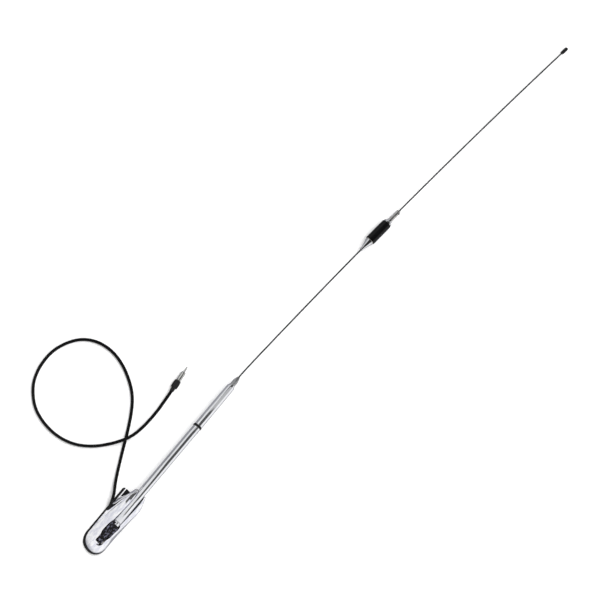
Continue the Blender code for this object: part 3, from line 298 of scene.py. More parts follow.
def flatPiece(name, outlines, low, high, edge, material):  # filled outlines with rounded edges
    curve = bpy.data.curves.new(name, "CURVE")
    curve.dimensions = "2D"
    curve.fill_mode = "BOTH"
    curve.extrude = (high - low) / 2 - edge
    curve.bevel_depth = edge
    curve.bevel_resolution = 3
    curve.offset = -edge
    for outline in outlines:
        spline = curve.splines.new("POLY")
        spline.points.add(len(outline) - 1)
        for point, (x, y) in zip(spline.points, outline):
            point.co = (x, y, 0, 1)
        spline.use_cyclic_u = True
    drawn = placed(name + "Drawn", curve)
    bpy.context.view_layer.update()
    build = bmesh.new()
    build.from_mesh(bpy.data.meshes.new_from_object(drawn))
    bpy.data.objects.remove(drawn)
    bmesh.ops.translate(build, verts=build.verts, vec=(0, 0, (low + high) / 2))
    return finished(name, build, material)


def arc(x, y, radius, first, last, steps):  # from one angle to another, in degrees
    turns = [math.radians(first + (last - first) * step / steps) for step in range(steps + 1)]
    return [(x + radius * math.cos(turn), y + radius * math.sin(turn)) for turn in turns]


def join(name, pieces):  # several pieces of one material each made one piece
    build = bmesh.new()
    slots = []
    for piece in pieces:
        material = piece.data.materials[-1]  # a tree can leave an empty slot before it
        if material not in slots:
            slots.append(material)
        before = len(build.faces)
        build.from_mesh(piece.data)
        build.faces.ensure_lookup_table()
        for face in build.faces[before:]:
            face.material_index = slots.index(material)
        bpy.data.objects.remove(piece)
    mesh = bpy.data.meshes.new(name)
    build.to_mesh(mesh)
    build.free()
    for material in slots:
        mesh.materials.append(material)
    return placed(name, mesh)


# Geometry Nodes
def newTree(name, sizes, counts):  # a geometry tree that is given sizes, counts and a material
    tree = bpy.data.node_groups.new(name, "GeometryNodeTree")
    tree.interface.new_socket("Geometry", in_out="OUTPUT", socket_type="NodeSocketGeometry")
    kinds = {"Geometry": ["Geometry"], "Float": sizes, "Int": counts, "Material": ["Material"]}
    for kind, labels in kinds.items():
        for label in labels:
            tree.interface.new_socket(label, in_out="INPUT", socket_type="NodeSocket" + kind)
    return tree, tree.nodes.new("NodeGroupInput").outputs


def endTree(tree, given, geometry):  # the last nodes of every tree: real geometry with its material
    real = put(tree, "GeometryNodeRealizeInstances", {"Geometry": geometry})["Geometry"]
    dressed = put(tree, "GeometryNodeSetMaterial", {"Geometry": real, "Material": given["Material"]})
    put(tree, "NodeGroupOutput", {"Geometry": dressed["Geometry"]})
    return tree


def runTree(name, tree, values, points=((0, 0, 0),), sharpAngle=35.0):  # the tree's result as a plain mesh
    mesh = bpy.data.meshes.new(name + "Start")
    mesh.from_pydata([tuple(p) for p in points], [(i, i + 1) for i in range(len(points) - 1)], [])
    made = placed(name, mesh)
    modifier = made.modifiers.new("shape", "NODES")
    modifier.node_group = tree
    for item in tree.interface.items_tree:
        if item.in_out == "INPUT" and item.name in values:
            modifier[item.identifier] = values[item.name]
    bpy.context.view_layer.update()
    depsgraph = bpy.context.evaluated_depsgraph_get()
    mesh = bpy.data.meshes.new_from_object(made.evaluated_get(depsgraph))
    made.modifiers.clear()
    made.data = mesh
    smoothed(mesh, sharpAngle)
    return made


def tubeAlongPathTree():  # a round tube along points that keeps its running length
    tree, given = newTree("tubeAlongPath", ["Radius", "Spacing"], ["Sides"])
    line = put(tree, "GeometryNodeMeshToCurve", {"Mesh": given["Geometry"]})["Curve"]
    even = put(tree, "GeometryNodeResampleCurve", {"Curve": line, "Length": given["Spacing"]}, mode="LENGTH")
    length = put(tree, "GeometryNodeSplineParameter")["Length"]
    row = {"Geometry": even["Curve"], "Name": "along", "Value": length}
    kept = put(tree, "GeometryNodeStoreNamedAttribute", row, data_type="FLOAT", domain="POINT")["Geometry"]
    sizes = {"Resolution": given["Sides"], "Radius": given["Radius"]}
    ring = put(tree, "GeometryNodeCurvePrimitiveCircle", sizes)["Curve"]
    sweep = {"Curve": kept, "Profile Curve": ring, "Fill Caps": True}
    return endTree(tree, given, put(tree, "GeometryNodeCurveToMesh", sweep)["Mesh"])


def ribsRoundTree():  # rounded bars round an axis, each lying along it
    tree, given = newTree("ribsRound", ["Circle", "Bar Radius", "Bar Length"], ["Count"])
    ring = put(tree, "GeometryNodeMeshCircle", {"Vertices": given["Count"], "Radius": given["Circle"]})
    ball = put(tree, "GeometryNodeMeshUVSphere", {"Segments": 10, "Rings": 8, "Radius": 1.0})["Mesh"]
    sizes = {"X": given["Bar Radius"], "Y": given["Bar Radius"], "Z": given["Bar Length"]}
    size = put(tree, "ShaderNodeCombineXYZ", sizes)["Vector"]
    bar = put(tree, "GeometryNodeTransform", {"Geometry": ball, "Scale": size})["Geometry"]
    bars = put(tree, "GeometryNodeInstanceOnPoints", {"Points": ring["Mesh"], "Instance": bar})
    return endTree(tree, given, bars["Instances"])


def ribsAlongTree():  # rings in a row along an axis, each a little smaller than the last
    tree, given = newTree("ribsAlong", ["Pitch", "First Radius", "Last Radius", "Thickness"], ["Count"])
    offset = put(tree, "ShaderNodeCombineXYZ", {"Z": given["Pitch"]})["Vector"]
    row = put(tree, "GeometryNodeMeshLine", {"Count": given["Count"], "Offset": offset})["Mesh"]
    ring = put(tree, "GeometryNodeCurvePrimitiveCircle", {"Resolution": 48, "Radius": 1.0})["Curve"]
    wire = put(tree, "GeometryNodeCurvePrimitiveCircle", {"Resolution": 12, "Radius": given["Thickness"]})
    index = put(tree, "GeometryNodeInputIndex")["Index"]
    last = put(tree, "ShaderNodeMath", {0: given["Count"], 1: 1.0}, operation="SUBTRACT")[0]
    taper = {"Value": index, "From Max": last, **ranged(given["First Radius"], given["Last Radius"])}
    radius = put(tree, "ShaderNodeMapRange", taper)["Result"]
    size = put(tree, "ShaderNodeCombineXYZ", {"X": radius, "Y": radius, "Z": 1.0})["Vector"]
    rings = put(tree, "GeometryNodeInstanceOnPoints", {"Points": row, "Instance": ring, "Scale": size})
    real = put(tree, "GeometryNodeRealizeInstances", {"Geometry": rings["Instances"]})["Geometry"]
    solid = put(tree, "GeometryNodeCurveToMesh", {"Curve": real, "Profile Curve": wire["Curve"]})
    return endTree(tree, given, solid["Mesh"])


tubeTree = tubeAlongPathTree()
ribsRound = ribsRoundTree()
ribsAlong = ribsAlongTree()
print("geometry trees made")


# Camera and stage come first
view = {
    "towardCamera": Vector((-0.4435, -0.2564, 0.8588)), "right": Vector((0.6047, 0.6216, 0.4979)),
    "up": Vector((-0.6615, 0.7402, -0.1206)), "mmPerPixel": 1.8665,
    "originPixel": (110.8, 521.7),  # where the part's origin shows in the 600 by 600 frame
    "lens": 1600, "sensor": 36, "clip": (1, 200), "frameWidth": 600,
}


def makeCamera():
    v = view
    scale = v["mmPerPixel"] * mm
    half = v["frameWidth"] / 2
    across = (half - v["originPixel"][0]) * scale
    rise = (v["originPixel"][1] - half) * scale
    reach = v["frameWidth"] * scale * v["lens"] / v["sensor"]
    data = bpy.data.cameras.new("camera")
    data.lens = v["lens"]
    data.sensor_width = v["sensor"]
    data.clip_start, data.clip_end = v["clip"]
    back = v["towardCamera"].normalized()
    up = back.cross(v["right"]).normalized()
    turn = Matrix((up.cross(back), up, back)).transposed().to_4x4()
    middle = v["right"] * across + v["up"] * rise
    scene.camera = placed("camera", data)
    scene.camera.matrix_world = Matrix.Translation(middle + back * reach) @ turn


stage = {
    "diffuseWorld": 0.62,  # strength of the white surroundings for diffuse light
    "cameraWorld": 0.97,
    "reflectedWorld": [(0.0, 0.84), (0.12, 0.97), (1.0, 1.0)],  # by the height of the direction
    "rightward": {**ranged(-0.4, 0.8, "From"), **ranged(0.9, 1.06)},  # brighter to the right
    "endward": {**ranged(-0.8, -0.3, "From"), **ranged(0.7, 1.0)},  # darker past the foot's end
    "floor": "#F4F4F4", "reflectedFloor": "#9C9DA1", "floorHalf": 30, "floorGlow": 0.18, "lampPower": 95,
    "lampSize": (3, 2.2), "lampPlace": Vector((-1.2, 1.6, 3.2)), "lampTarget": Vector((0, 0.5, 0)),
    "cards": {  # shade, height and corners of each card, in metres
        "darkCard": (0.1, 0.3, [(-0.27, 0.26), (-0.14, 0.19), (-0.1, 0.108), (0.12, 0.108), (0.12, 0.362),
                                (-0.27, 0.362)]),
        "lowCard": (0.1, 0.3, [(-0.09, 0.055), (0.06, 0.055), (0.06, 0.108), (-0.09, 0.108)]),
        "greyCard": (0.55, 0.3, [(-0.34, 0.362), (0.12, 0.362), (0.12, 0.46), (-0.34, 0.46)]),
        "paleCard": (0.95, 0.0005, [(-0.4, -0.01), (-0.036, -0.01), (-0.036, 0.095), (-0.4, 0.095)]),
        "whipCard": (0.03, 0.3, [(-0.45, 0.46), (0.16, 0.46), (0.28, 1.75), (-0.45, 1.75)]),
    },
}


def makeWorld():
    scene.world = bpy.data.worlds.new("studio")
    scene.world.use_nodes = True
    tree = scene.world.node_tree
    tree.nodes.clear()
    path = put(tree, "ShaderNodeLightPath")
    direction = put(tree, "ShaderNodeTexCoord")["Generated"]
    part = put(tree, "ShaderNodeSeparateXYZ", {"Vector": direction})
    stops = [(place, (value, value, value, 1.0)) for place, value in stage["reflectedWorld"]]
    ramp = put(tree, "ShaderNodeValToRGB", {"Fac": part["Z"]}, stops)["Color"]
    plain = {"Value": path["Is Camera Ray"], **ranged(stage["diffuseWorld"], stage["cameraWorld"])}
    seen = put(tree, "ShaderNodeMapRange", plain)["Result"]
    toRight = put(tree, "ShaderNodeMapRange", {"Value": part["X"], **stage["rightward"]})["Result"]
    toEnd = put(tree, "ShaderNodeMapRange", {"Value": part["Y"], **stage["endward"]})["Result"]
    fade = put(tree, "ShaderNodeMath", {0: toRight, 1: toEnd}, operation="MULTIPLY")[0]
    both = {"Factor": 1.0, 6: ramp, 7: fade}
    reflected = put(tree, "ShaderNodeMix", both, data_type="RGBA", blend_type="MULTIPLY")[2]
    colours = {"Factor": path["Is Glossy Ray"], 6: seen, 7: reflected}
    colour = put(tree, "ShaderNodeMix", colours, data_type="RGBA")[2]
    light = put(tree, "ShaderNodeBackground", {"Color": colour, "Strength": 1.0})
    put(tree, "ShaderNodeOutputWorld", {"Surface": light["Background"]})


def makeFloor():
    build = bmesh.new()
    bmesh.ops.create_grid(build, x_segments=1, y_segments=1, size=stage["floorHalf"])
    material, tree, shader = startMaterial("paintedFloor", {"Roughness": 0.9, "Emission Color": (1, 1, 1, 1)})
    path = put(tree, "ShaderNodeLightPath")
    colours = {"Factor": path["Is Glossy Ray"], 6: linear(stage["floor"]), 7: linear(stage["reflectedFloor"])}
    tree.links.new(put(tree, "ShaderNodeMix", colours, data_type="RGBA")[2], shader.inputs["Base Color"])
    glow = {"Value": path["Is Camera Ray"], **ranged(0.0, stage["floorGlow"])}
    tree.links.new(put(tree, "ShaderNodeMapRange", glow)["Result"], shader.inputs["Emission Strength"])
    finished("floor", build, material)


def makeSoftbox():
    lamp = bpy.data.lights.new("softbox", "AREA")
    lamp.shape = "RECTANGLE"
    lamp.size, lamp.size_y = stage["lampSize"]
    lamp.energy = stage["lampPower"]
    softbox = placed("softbox", lamp)
    softbox.matrix_world = pointing(stage["lampPlace"], stage["lampPlace"] - stage["lampTarget"])
    softbox.visible_glossy = False


def makeCard(name, shade, height, corners):  # a card that only glossy surfaces see
    build = bmesh.new()
    build.faces.new([build.verts.new((x, y, height)) for x, y in corners])
    black = {"Base Color": (0, 0, 0, 1), "Roughness": 1.0, "Specular IOR Level": 0.0}
    glow = {"Emission Color": (shade, shade, shade, 1), "Emission Strength": 1.0}
    card = finished(name, build, startMaterial(name, {**black, **glow})[0])
    for ray in ("camera", "diffuse", "shadow", "transmission"):
        setattr(card, "visible_" + ray, False)


def makeStage():
    scene.view_settings.view_transform = "Standard"
    makeWorld()
    makeFloor()
    makeSoftbox()
    for name, (shade, height, corners) in stage["cards"].items():
        makeCard(name, shade, height, corners)


makeCamera()
makeStage()
print("camera and stage made")


# Foot: rubber pad and steel plate under the housing
foot = {
    "halfWidth": 26.5 * mm, "bottom": -72 * mm, "top": 65 * mm, "endLength": 27 * mm,
    "endPower": 2.25, "cornerRadius": 5 * mm, "inset": 0.4 * mm, "holes": (-61 * mm, 46 * mm),
    "padHole": 3.2 * mm, "plateHole": 2.1 * mm, "edge": 0.45 * mm,
}


def footOutline(inset, steps=64):
    f = foot
    half = f["halfWidth"] - inset
    reach = f["endLength"] - inset
    power = 2 / f["endPower"]
    points = []
    for step in range(steps + 1):
        turn = math.pi * step / steps
        across = math.copysign(abs(math.cos(turn)) ** power, math.cos(turn))
        points.append((-half * across, f["bottom"] + f["endLength"] - reach * abs(math.sin(turn)) ** power))
    radius = f["cornerRadius"] - inset
    top = f["top"] - inset - radius
    return points + arc(half - radius, top, radius, 0, 90, 10) + arc(radius - half, top, radius, 90, 180, 10)


def makeFoot():
    f = foot
    rows = (("rubberPad", "mounting_pad", "pad_rubber", padRubber, 0.0, f["padHole"]),
            ("steelPlate", "mounting_plate", "plate_coating", plateBlack, f["inset"], f["plateHole"]))
    for name, node, slot, material, inset, hole in rows:
        low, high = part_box(node)
        holes = [arc(0, y, hole, 0, 360, 40)[:-1] for y in f["holes"]]
        made = flatPiece(name, [footOutline(inset), *holes], low.z, high.z, f["edge"], material)
        addPieces("foot", (made, node, slot))


# Chrome housing: a teardrop lofted from sections, with the slot and the trough for the mast.
# Widths are shares of the base's half width and heights shares of the crest height.
housing = {
    "start": -69.5 * mm, "length": 145 * mm, "halfWidth": 26 * mm, "crest": 21.4 * mm, "base": 6.1 * mm,
    "endLength": 27 * mm, "endPower": 2.2, "slotBottom": -54.5 * mm, "slotEnd": 8 * mm,
    "slotHalf": 8.6 * mm, "slotWidensFrom": -38 * mm, "bellyStart": -26 * mm, "bellyEnd": -14 * mm,
    "bellyHalf": 11.4 * mm, "slotTop": 4.5 * mm, "troughRadius": 9 * mm, "lip": 0.6 * mm, "noseEdge": 1.4 * mm,
    "endRise": 0.8,  # how the domed end takes the height down with the width
    "rounding": ((0.06, 5), (0.42, 16), (0.42, 16)),  # share of each side and steps, from the base up
    "outerPoints": 64, "wallPoints": 20,
    "sections": (  # along, base, waist, crease, underside, waist height, crest
        (0, 0.99, 0.85, 0.4, 0, 0.2, 0.38),
        (0.13, 0.99, 0.85, 0.44, 0, 0.23, 0.45),
        (0.34, 1, 0.86, 0.5, 0, 0.29, 0.62),
        (0.48, 1, 0.885, 0.58, 0, 0.36, 0.75),
        (0.65, 0.99, 0.9, 0.665, 0, 0.47, 0.9),
        (0.77, 0.88, 0.885, 0.74, 0, 0.56, 0.98),
        (0.84, 0.71, 0.81, 0.72, 0.02, 0.58, 1),
        (0.9, 0.55, 0.69, 0.63, 0.06, 0.6, 0.97),
        (0.95, 0.44, 0.58, 0.54, 0.1, 0.6, 0.9),
        (1, 0.37, 0.49, 0.47, 0.14, 0.6, 0.79),
    ),
}


def hermite(first, leave, second, arrive, t):  # a smooth curve with these slopes at its two ends
    return (first * (2 * t ** 3 - 3 * t ** 2 + 1) + leave * (t ** 3 - 2 * t ** 2 + t)
            + second * (3 * t ** 2 - 2 * t ** 3) + arrive * (t ** 3 - t ** 2))


def sectionSizes(along):  # the six sizes at a share of the length
    rows = housing["sections"]
    place = max(i for i in range(len(rows) - 1) if rows[i][0] <= along or i == 0)
    before, first = rows[max(place - 1, 0)], rows[place]
    second, after = rows[place + 1], rows[min(place + 2, len(rows) - 1)]
    step = second[0] - first[0]
    sizes = []
    for column in range(1, 7):
        leave = (second[column] - before[column]) / (second[0] - before[0]) * step
        arrive = (after[column] - first[column]) / (after[0] - first[0]) * step
        sizes.append(hermite(first[column], leave, second[column], arrive, (along - first[0]) / step))
    return sizes


def lengthOf(points):
    return sum((b - a).length for a, b in zip(points, points[1:]))


def evenly(points, count):  # the same line with its points at an even spacing
    lengths = [0.0]
    for a, b in zip(points, points[1:]):
        lengths.append(lengths[-1] + (b - a).length)
    kept = []
    place = 0
    for step in range(count):
        wanted = lengths[-1] * step / (count - 1)
        while place < len(points) - 2 and lengths[place + 1] < wanted:
            place += 1
        share = (wanted - lengths[place]) / max(lengths[place + 1] - lengths[place], 1e-12)
        kept.append(points[place].lerp(points[place + 1], share))
    return kept


def slotHalfAt(y):  # a rounded end, a straight stretch for the hinge, a wider belly, then the trough
    h = housing
    roundedTo = h["slotBottom"] + h["slotEnd"]
    if y < roundedTo:
        return h["slotHalf"] * math.sqrt(max(1 - ((roundedTo - y) / h["slotEnd"]) ** 2, 0.0))
    stops = [(roundedTo, h["slotHalf"]), (h["slotWidensFrom"], h["slotHalf"]),
             (h["bellyStart"], h["bellyHalf"]), (h["bellyEnd"], h["bellyHalf"]),
             (h["slotTop"], h["troughRadius"])]
    for (start, first), (end, second) in zip(stops, stops[1:]):
        if y <= end:
            t = (y - start) / (end - start)
            return first + (second - first) * t * t * (3 - 2 * t)
    return h["troughRadius"]


def housingRing(y, endShare, inset, kind, fine=400):
    # the right half: up the outside to the lip, then down the wall
    h = housing
    along = min(max((y - h["start"]) / h["length"], 0.0), 1.0)
    base, waist, crease, underside, waistHeight, crest = sectionSizes(along)
    half = h["halfWidth"] * endShare
    rise = h["crest"] * endShare ** h["endRise"]
    low = h["base"] + h["crest"] * underside + inset
    top = h["base"] + crest * rise - inset
    corners = [Vector(c) for c in ((0, low), (half * base - inset, low),
                                   (half * waist - inset, h["base"] + waistHeight * rise),
                                   (half * crease - inset, top), (0, top))]
    run = [corners[0]]
    for before, corner, after, (share, steps) in zip(corners, corners[1:], corners[2:], h["rounding"]):
        run += bend(corner.lerp(before, share), corner, corner.lerp(after, share), steps)
    run.append(corners[-1])
    opening = 0.0 if kind == "closed" else slotHalfAt(y)
    if y > h["slotTop"]:  # the trough, at the height of the housing's top
        opening = inset + math.sqrt(max(h["troughRadius"] ** 2 - max(mastHeight - top, 0.0) ** 2, 0.0))
    outer = []
    for a, b in zip(run, run[1:]):
        outer.append(a)
        if b.x < opening <= a.x and b.y > low + 0.5 * mm:
            outer.append(a.lerp(b, (a.x - opening) / (a.x - b.x)))
            break
    else:
        outer.append(run[-1])
    if kind == "closed":
        return evenly(outer, h["outerPoints"]), []
    lip = outer[-1]
    if kind == "slot":
        line = [lip, Vector((lip.x, low))]
    else:
        radius = h["troughRadius"] + inset
        first = math.degrees(math.asin(min(max((lip.y - mastHeight) / radius, -1), 0)))
        line = [lip] + [Vector(point) for point in arc(0, mastHeight, radius, first, -90, 24)]
    ease = min(h["lip"], opening)
    if ease <= 0:
        return evenly(outer, h["outerPoints"]), evenly(line, h["wallPoints"])
    back = evenly(outer, fine)  # the lip is rounded
    down = evenly(line, fine)
    stepBack = round((fine - 1) * (1 - ease / lengthOf(outer)))
    stepDown = max(1, round((fine - 1) * min(ease / lengthOf(line), 0.9)))
    curve = bend(back[stepBack], lip, down[stepDown], 6)
    return (evenly(back[:stepBack], h["outerPoints"] - len(curve)) + curve,
            evenly(down[stepDown:], h["wallPoints"]))


def makeHousing():
    h = housing
    endFrom = h["start"] + h["endLength"]

    def shareAt(y):  # how far the domed end narrows the section at this place
        sine = (max(endFrom - y, 0.0) / h["endLength"]) ** (h["endPower"] / 2)
        return max(1 - sine * sine, 0.0) ** (1 / h["endPower"])

    turns = [math.radians(89.7) * step / 40 for step in range(40, 0, -1)]
    dome = [endFrom - h["endLength"] * math.sin(turn) ** (2 / h["endPower"]) for turn in turns]
    places = [(y, 0.0, "closed") for y in dome if y < h["slotBottom"] - 0.3 * mm]
    places.append((h["slotBottom"], 0.0, "closed"))
    slotFrom = h["slotBottom"] + h["slotEnd"]
    places += [(slotFrom - x, 0.0, "slot") for x, y in arc(0, 0, h["slotEnd"], 0, 90, 18)]
    places += [(slotFrom + (h["slotTop"] - slotFrom) * step / 42, 0.0, "slot") for step in range(1, 43)]
    edge = h["noseEdge"]
    noseFrom = h["start"] + h["length"] - edge
    places += [(h["slotTop"] + (noseFrom - h["slotTop"]) * step / 60, 0.0, "trough") for step in range(61)]
    places += [(noseFrom + y, edge - x, "trough") for x, y in arc(0, 0, edge, 0, 90, 6)[1:]]

    build = bmesh.new()
    for mirror in (1, -1):
        rings = {"closed": [], "slot": [], "trough": []}
        for y, inset, kind in places:
            outer, wall = housingRing(y, shareAt(y), inset, kind)
            rings[kind].append([build.verts.new((mirror * p.x, y, p.y)) for p in outer + wall])
        for row in rings.values():
            skin(build, row, closed=False)
        slotRing, troughRing = rings["slot"][-1], rings["trough"][0]
        wallFrom = h["outerPoints"] - 1
        skin(build, [slotRing[wallFrom:], troughRing[wallFrom:]], closed=False)
        build.faces.new((slotRing[-1], troughRing[0], troughRing[-1]))
        build.faces.new(rings["trough"][-1])
    made = finished("chromeHousing", build, castChrome, 38.0)
    addPieces("foot", (made, "pod_housing", "cast_chrome"))


# Fold-down knuckle: an enamelled casting with a collar for the tube
knuckle = {
    "pivot": (-42 * mm, 10.6 * mm), "eye": 4.4 * mm, "clear": 1 * mm, "lag": 4 * mm, "edge": 2 * mm,
    "topPoints": ((-12, 2), (-3, 5.2), (4, 6.5)),  # in mm from the collar and the mast's axis
    "lowPoints": ((-8, -9.1), (4, -6.5)), "collarStart": -4.8 * mm, "collarRadius": 7.5,
    "collarLength": 7, "groove": 0.7,
}


def heightOn(line, y, shifts=(-3, -1.5, 0, 1.5, 3)):  # the line's height, softened over 6 mm
    heights = []
    for shift in shifts:
        at = min(max(y + shift * mm, line[0][0]), line[-1][0])
        (start, low), (end, high) = next(pair for pair in zip(line, line[1:]) if at <= pair[1][0])
        heights.append(low + (high - low) * (at - start) / (end - start))
    return sum(heights) / len(heights)


def makeKnuckle():
    k = knuckle
    start, eye = k["collarStart"], k["eye"]
    pivotY, pivotZ = k["pivot"]
    topLine = [(pivotY, pivotZ + eye)] + [(start + y * mm, mastHeight + z * mm) for y, z in k["topPoints"]]
    lowLine = [(pivotY, pivotZ - eye)] + [(start + y * mm, mastHeight + z * mm) for y, z in k["lowPoints"]]
    sections = [(pivotY - x, pivotZ - rise, pivotZ + rise) for x, rise in arc(0, 0, eye, 0, 90, 15)[1:]]
    for step in range(1, 45):
        y = pivotY + (topLine[-1][0] - pivotY) * step / 44
        sections.append((y, heightOn(lowLine, y), heightOn(topLine, y)))
    build = bmesh.new()
    rings = []
    for y, low, high in sections:
        half = slotHalfAt(max(y - k["lag"], housing["slotWidensFrom"])) - k["clear"]
        edge = min(k["edge"], 0.4 * (high - low))
        quarter = arc(half - edge, high - edge, edge, 0, 90, 8)
        right = [(x, low + high - z) for x, z in reversed(quarter)] + quarter
        left = [(-x, z) for x, z in reversed(right)]
        rings.append([build.verts.new((x, y, z)) for x, z in right + left])
    skin(build, rings)
    build.faces.new(rings[0])
    build.faces.new(rings[-1])
    body = finished("knuckleBody", build, knuckleBlack)
    full, length = k["collarRadius"], k["collarLength"]
    low = full - k["groove"]
    profile = [(0.05, 0), (full - 0.2, 0), (full, 0.6), (full, length - 1.6), (low, length - 1.3),
               (low, length - 0.9), (full, length - 0.6), (full, length), (0.05, length)]
    collar = turned("knuckleCollar", profile, tubeChrome, Vector((0, start, mastHeight)), alongMast)
    made = join("foldKnuckle", [body, collar])
    smoothed(made.data, 40.0)
    addPieces("mast", (made, "mast_knuckle", "knuckle_black"))


# Mast tubes, their joint ring and the ferrule that grips the whip
mast = {"tubeRadius": 8, "bore": 6.6, "ringStand": 1, "upperLow": 8.2, "upperHigh": 7.8, "shoulder": 4.5,
        "shoulderRadius": 6, "flats": 5.2, "hexLength": 11, "ferruleTip": 3}


def onMast(node):  # where a node on the mast starts, and its length in millimetres
    low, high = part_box(node)
    return Vector((0, low.y, mastHeight)), (high.y - low.y) / mm


def makeMast():
    radius, bore = mast["tubeRadius"], mast["bore"]
    start, length = onMast("lower_tube")
    profile = [(bore, 0.6), (bore, 0), (radius, 0), (radius, length), (bore, length), (bore, length - 0.6)]
    tube = turned("lowerTube", profile, tubeChrome, start, alongMast, 96, 0.5)
    start, length = onMast("joint_ring")
    ring = radius + mast["ringStand"]
    profile = [(bore, 0), (ring - 0.5, 0), (ring, 0.7), (ring, 1.5), (ring - 0.35, 1.8), (ring - 0.35, 2.2),
               (ring, 2.5), (ring, length - 0.7), (ring - 0.5, length), (bore, length)]
    band = turned("jointRing", profile, ringPlastic, start, alongMast, 96, 0.25)
    start, length = onMast("upper_tube")
    low, high, shoulder = mast["upperLow"], mast["upperHigh"], length - mast["shoulder"]
    profile = [(bore, 0), (low, 0), (low, 0.35 * length), (high, shoulder), (high - 0.5, shoulder + 0.8),
               (mast["shoulderRadius"], length), (1.8, length)]
    upper = turned("upperTube", profile, tubeChrome, start, alongMast, 96, 0.6)
    start, length = onMast("whip_ferrule")
    flats, tip = mast["flats"], mast["ferruleTip"]
    profile = [(1.7, 0), (flats, 0), (flats, mast["hexLength"]), (flats - 0.3, mast["hexLength"] + 0.5),
               (tip + 0.8, length - 4), (tip, length), (1.7, length)]
    nut = turned("whipFerrule", profile, ferruleSteel, start, alongMast, 96, 0.3, hexUpTo=mast["hexLength"])
    addPieces("mast", (tube, "lower_tube", "tube_chrome"), (band, "joint_ring", "ring_plastic"),
              (upper, "upper_tube", "tube_chrome"), (nut, "whip_ferrule", "bright_steel"))


# Whip, by distance from the ferrule: a kink above it, a bow to one side and a sag
whip = {
    "radius": 1.5 * mm, "upperRadius": 1.4 * mm, "kink": 0.064, "kinkLength": 15 * mm, "bow": 0.085,
    "span": 917 * mm, "coilPlace": 346 * mm, "coilLength": 107 * mm, "grip": 19 * mm,
    "capRadius": 3.27, "capLength": 15.94, "capReach": 16, "capDome": 3.4, "drop": mastHeight - 3.35 * mm,
    "sides": 20,
}
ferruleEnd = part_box("whip_ferrule")[1].y


def whipPoint(along):
    w = whip
    easing = along - w["kinkLength"] * (1 - math.exp(-along / w["kinkLength"]))
    side = w["kink"] * easing + w["bow"] * along * along / 2
    return Vector((side, ferruleEnd + along, mastHeight - w["drop"] * (along / w["span"]) ** 1.5))


coilStart = whipPoint(whip["coilPlace"])


def onCoil(along):  # millimetres along the coil's own axis
    return coilStart + coilAxis * along * mm


def makeWhips():
    w = whip
    points = [Vector((0, ferruleEnd - back * mm, mastHeight)) for back in (18, 1)]
    last = w["coilPlace"] - 4 * mm
    points += [whipPoint(last * (step / 60) ** 1.5) for step in range(61)] + [onCoil(8)]
    values = {"Radius": w["radius"], "Sides": w["sides"], "Spacing": 4 * mm, "Material": wireSteel}
    lower = runTree("lowerWhipWire", tubeTree, values, points)
    coil = w["coilLength"] / mm
    first, last = w["coilPlace"] + w["coilLength"] + 10 * mm, w["span"] - 4 * mm
    points = [onCoil(coil - w["grip"] / mm), onCoil(coil - 2)]
    points += [whipPoint(first + (last - first) * step / 60) for step in range(61)]
    values["Radius"] = w["upperRadius"]
    upper = runTree("upperWhipWire", tubeTree, values, points)
    length, full, rise = w["capLength"], w["capRadius"], w["capDome"]
    capStart = whipPoint(w["span"] - w["capReach"] * mm)
    capAxis = (whipPoint(w["span"]) - capStart).normalized()
    dome = [(x, length - rise + y * rise / full) for x, y in arc(0, 0, full, 10, 80, 7)]
    profile = [(0.05, 12.5), (1.5, 12.5), (1.5, 0), (full - 0.7, 0), (full, 0.9), (full, 2.4),
               (full - 0.35, 2.8), (full - 0.35, 3.4), (full, 3.8), (full, length - rise)]
    profile += [*dome, (0.05, length)]
    cap = turned("tipCap", profile, capVinyl, capStart, capAxis, 48, 0.3)
    addPieces("mast", (lower, "lower_whip", "whip_steel"))
    addPieces("tip", (upper, "upper_whip", "whip_steel"), (cap, "tip_cap", "cap_rubber"))


# Loading coil: chrome cone, black sleeve, chrome cap and the adapter
coil = {"cone": 24.5, "neck": 3.2, "neckLength": 6.0, "coneRadius": 8.0, "sleeve": 48.0, "sleeveRadius": 9.65,
        "cap": 8.9, "capRadius": 8.5, "capNeck": 5.2, "gap": 0.3, "adapter": 4.4, "adapterNeck": 3.5,
        "bore": 1.7, "boreFloor": 2.6}


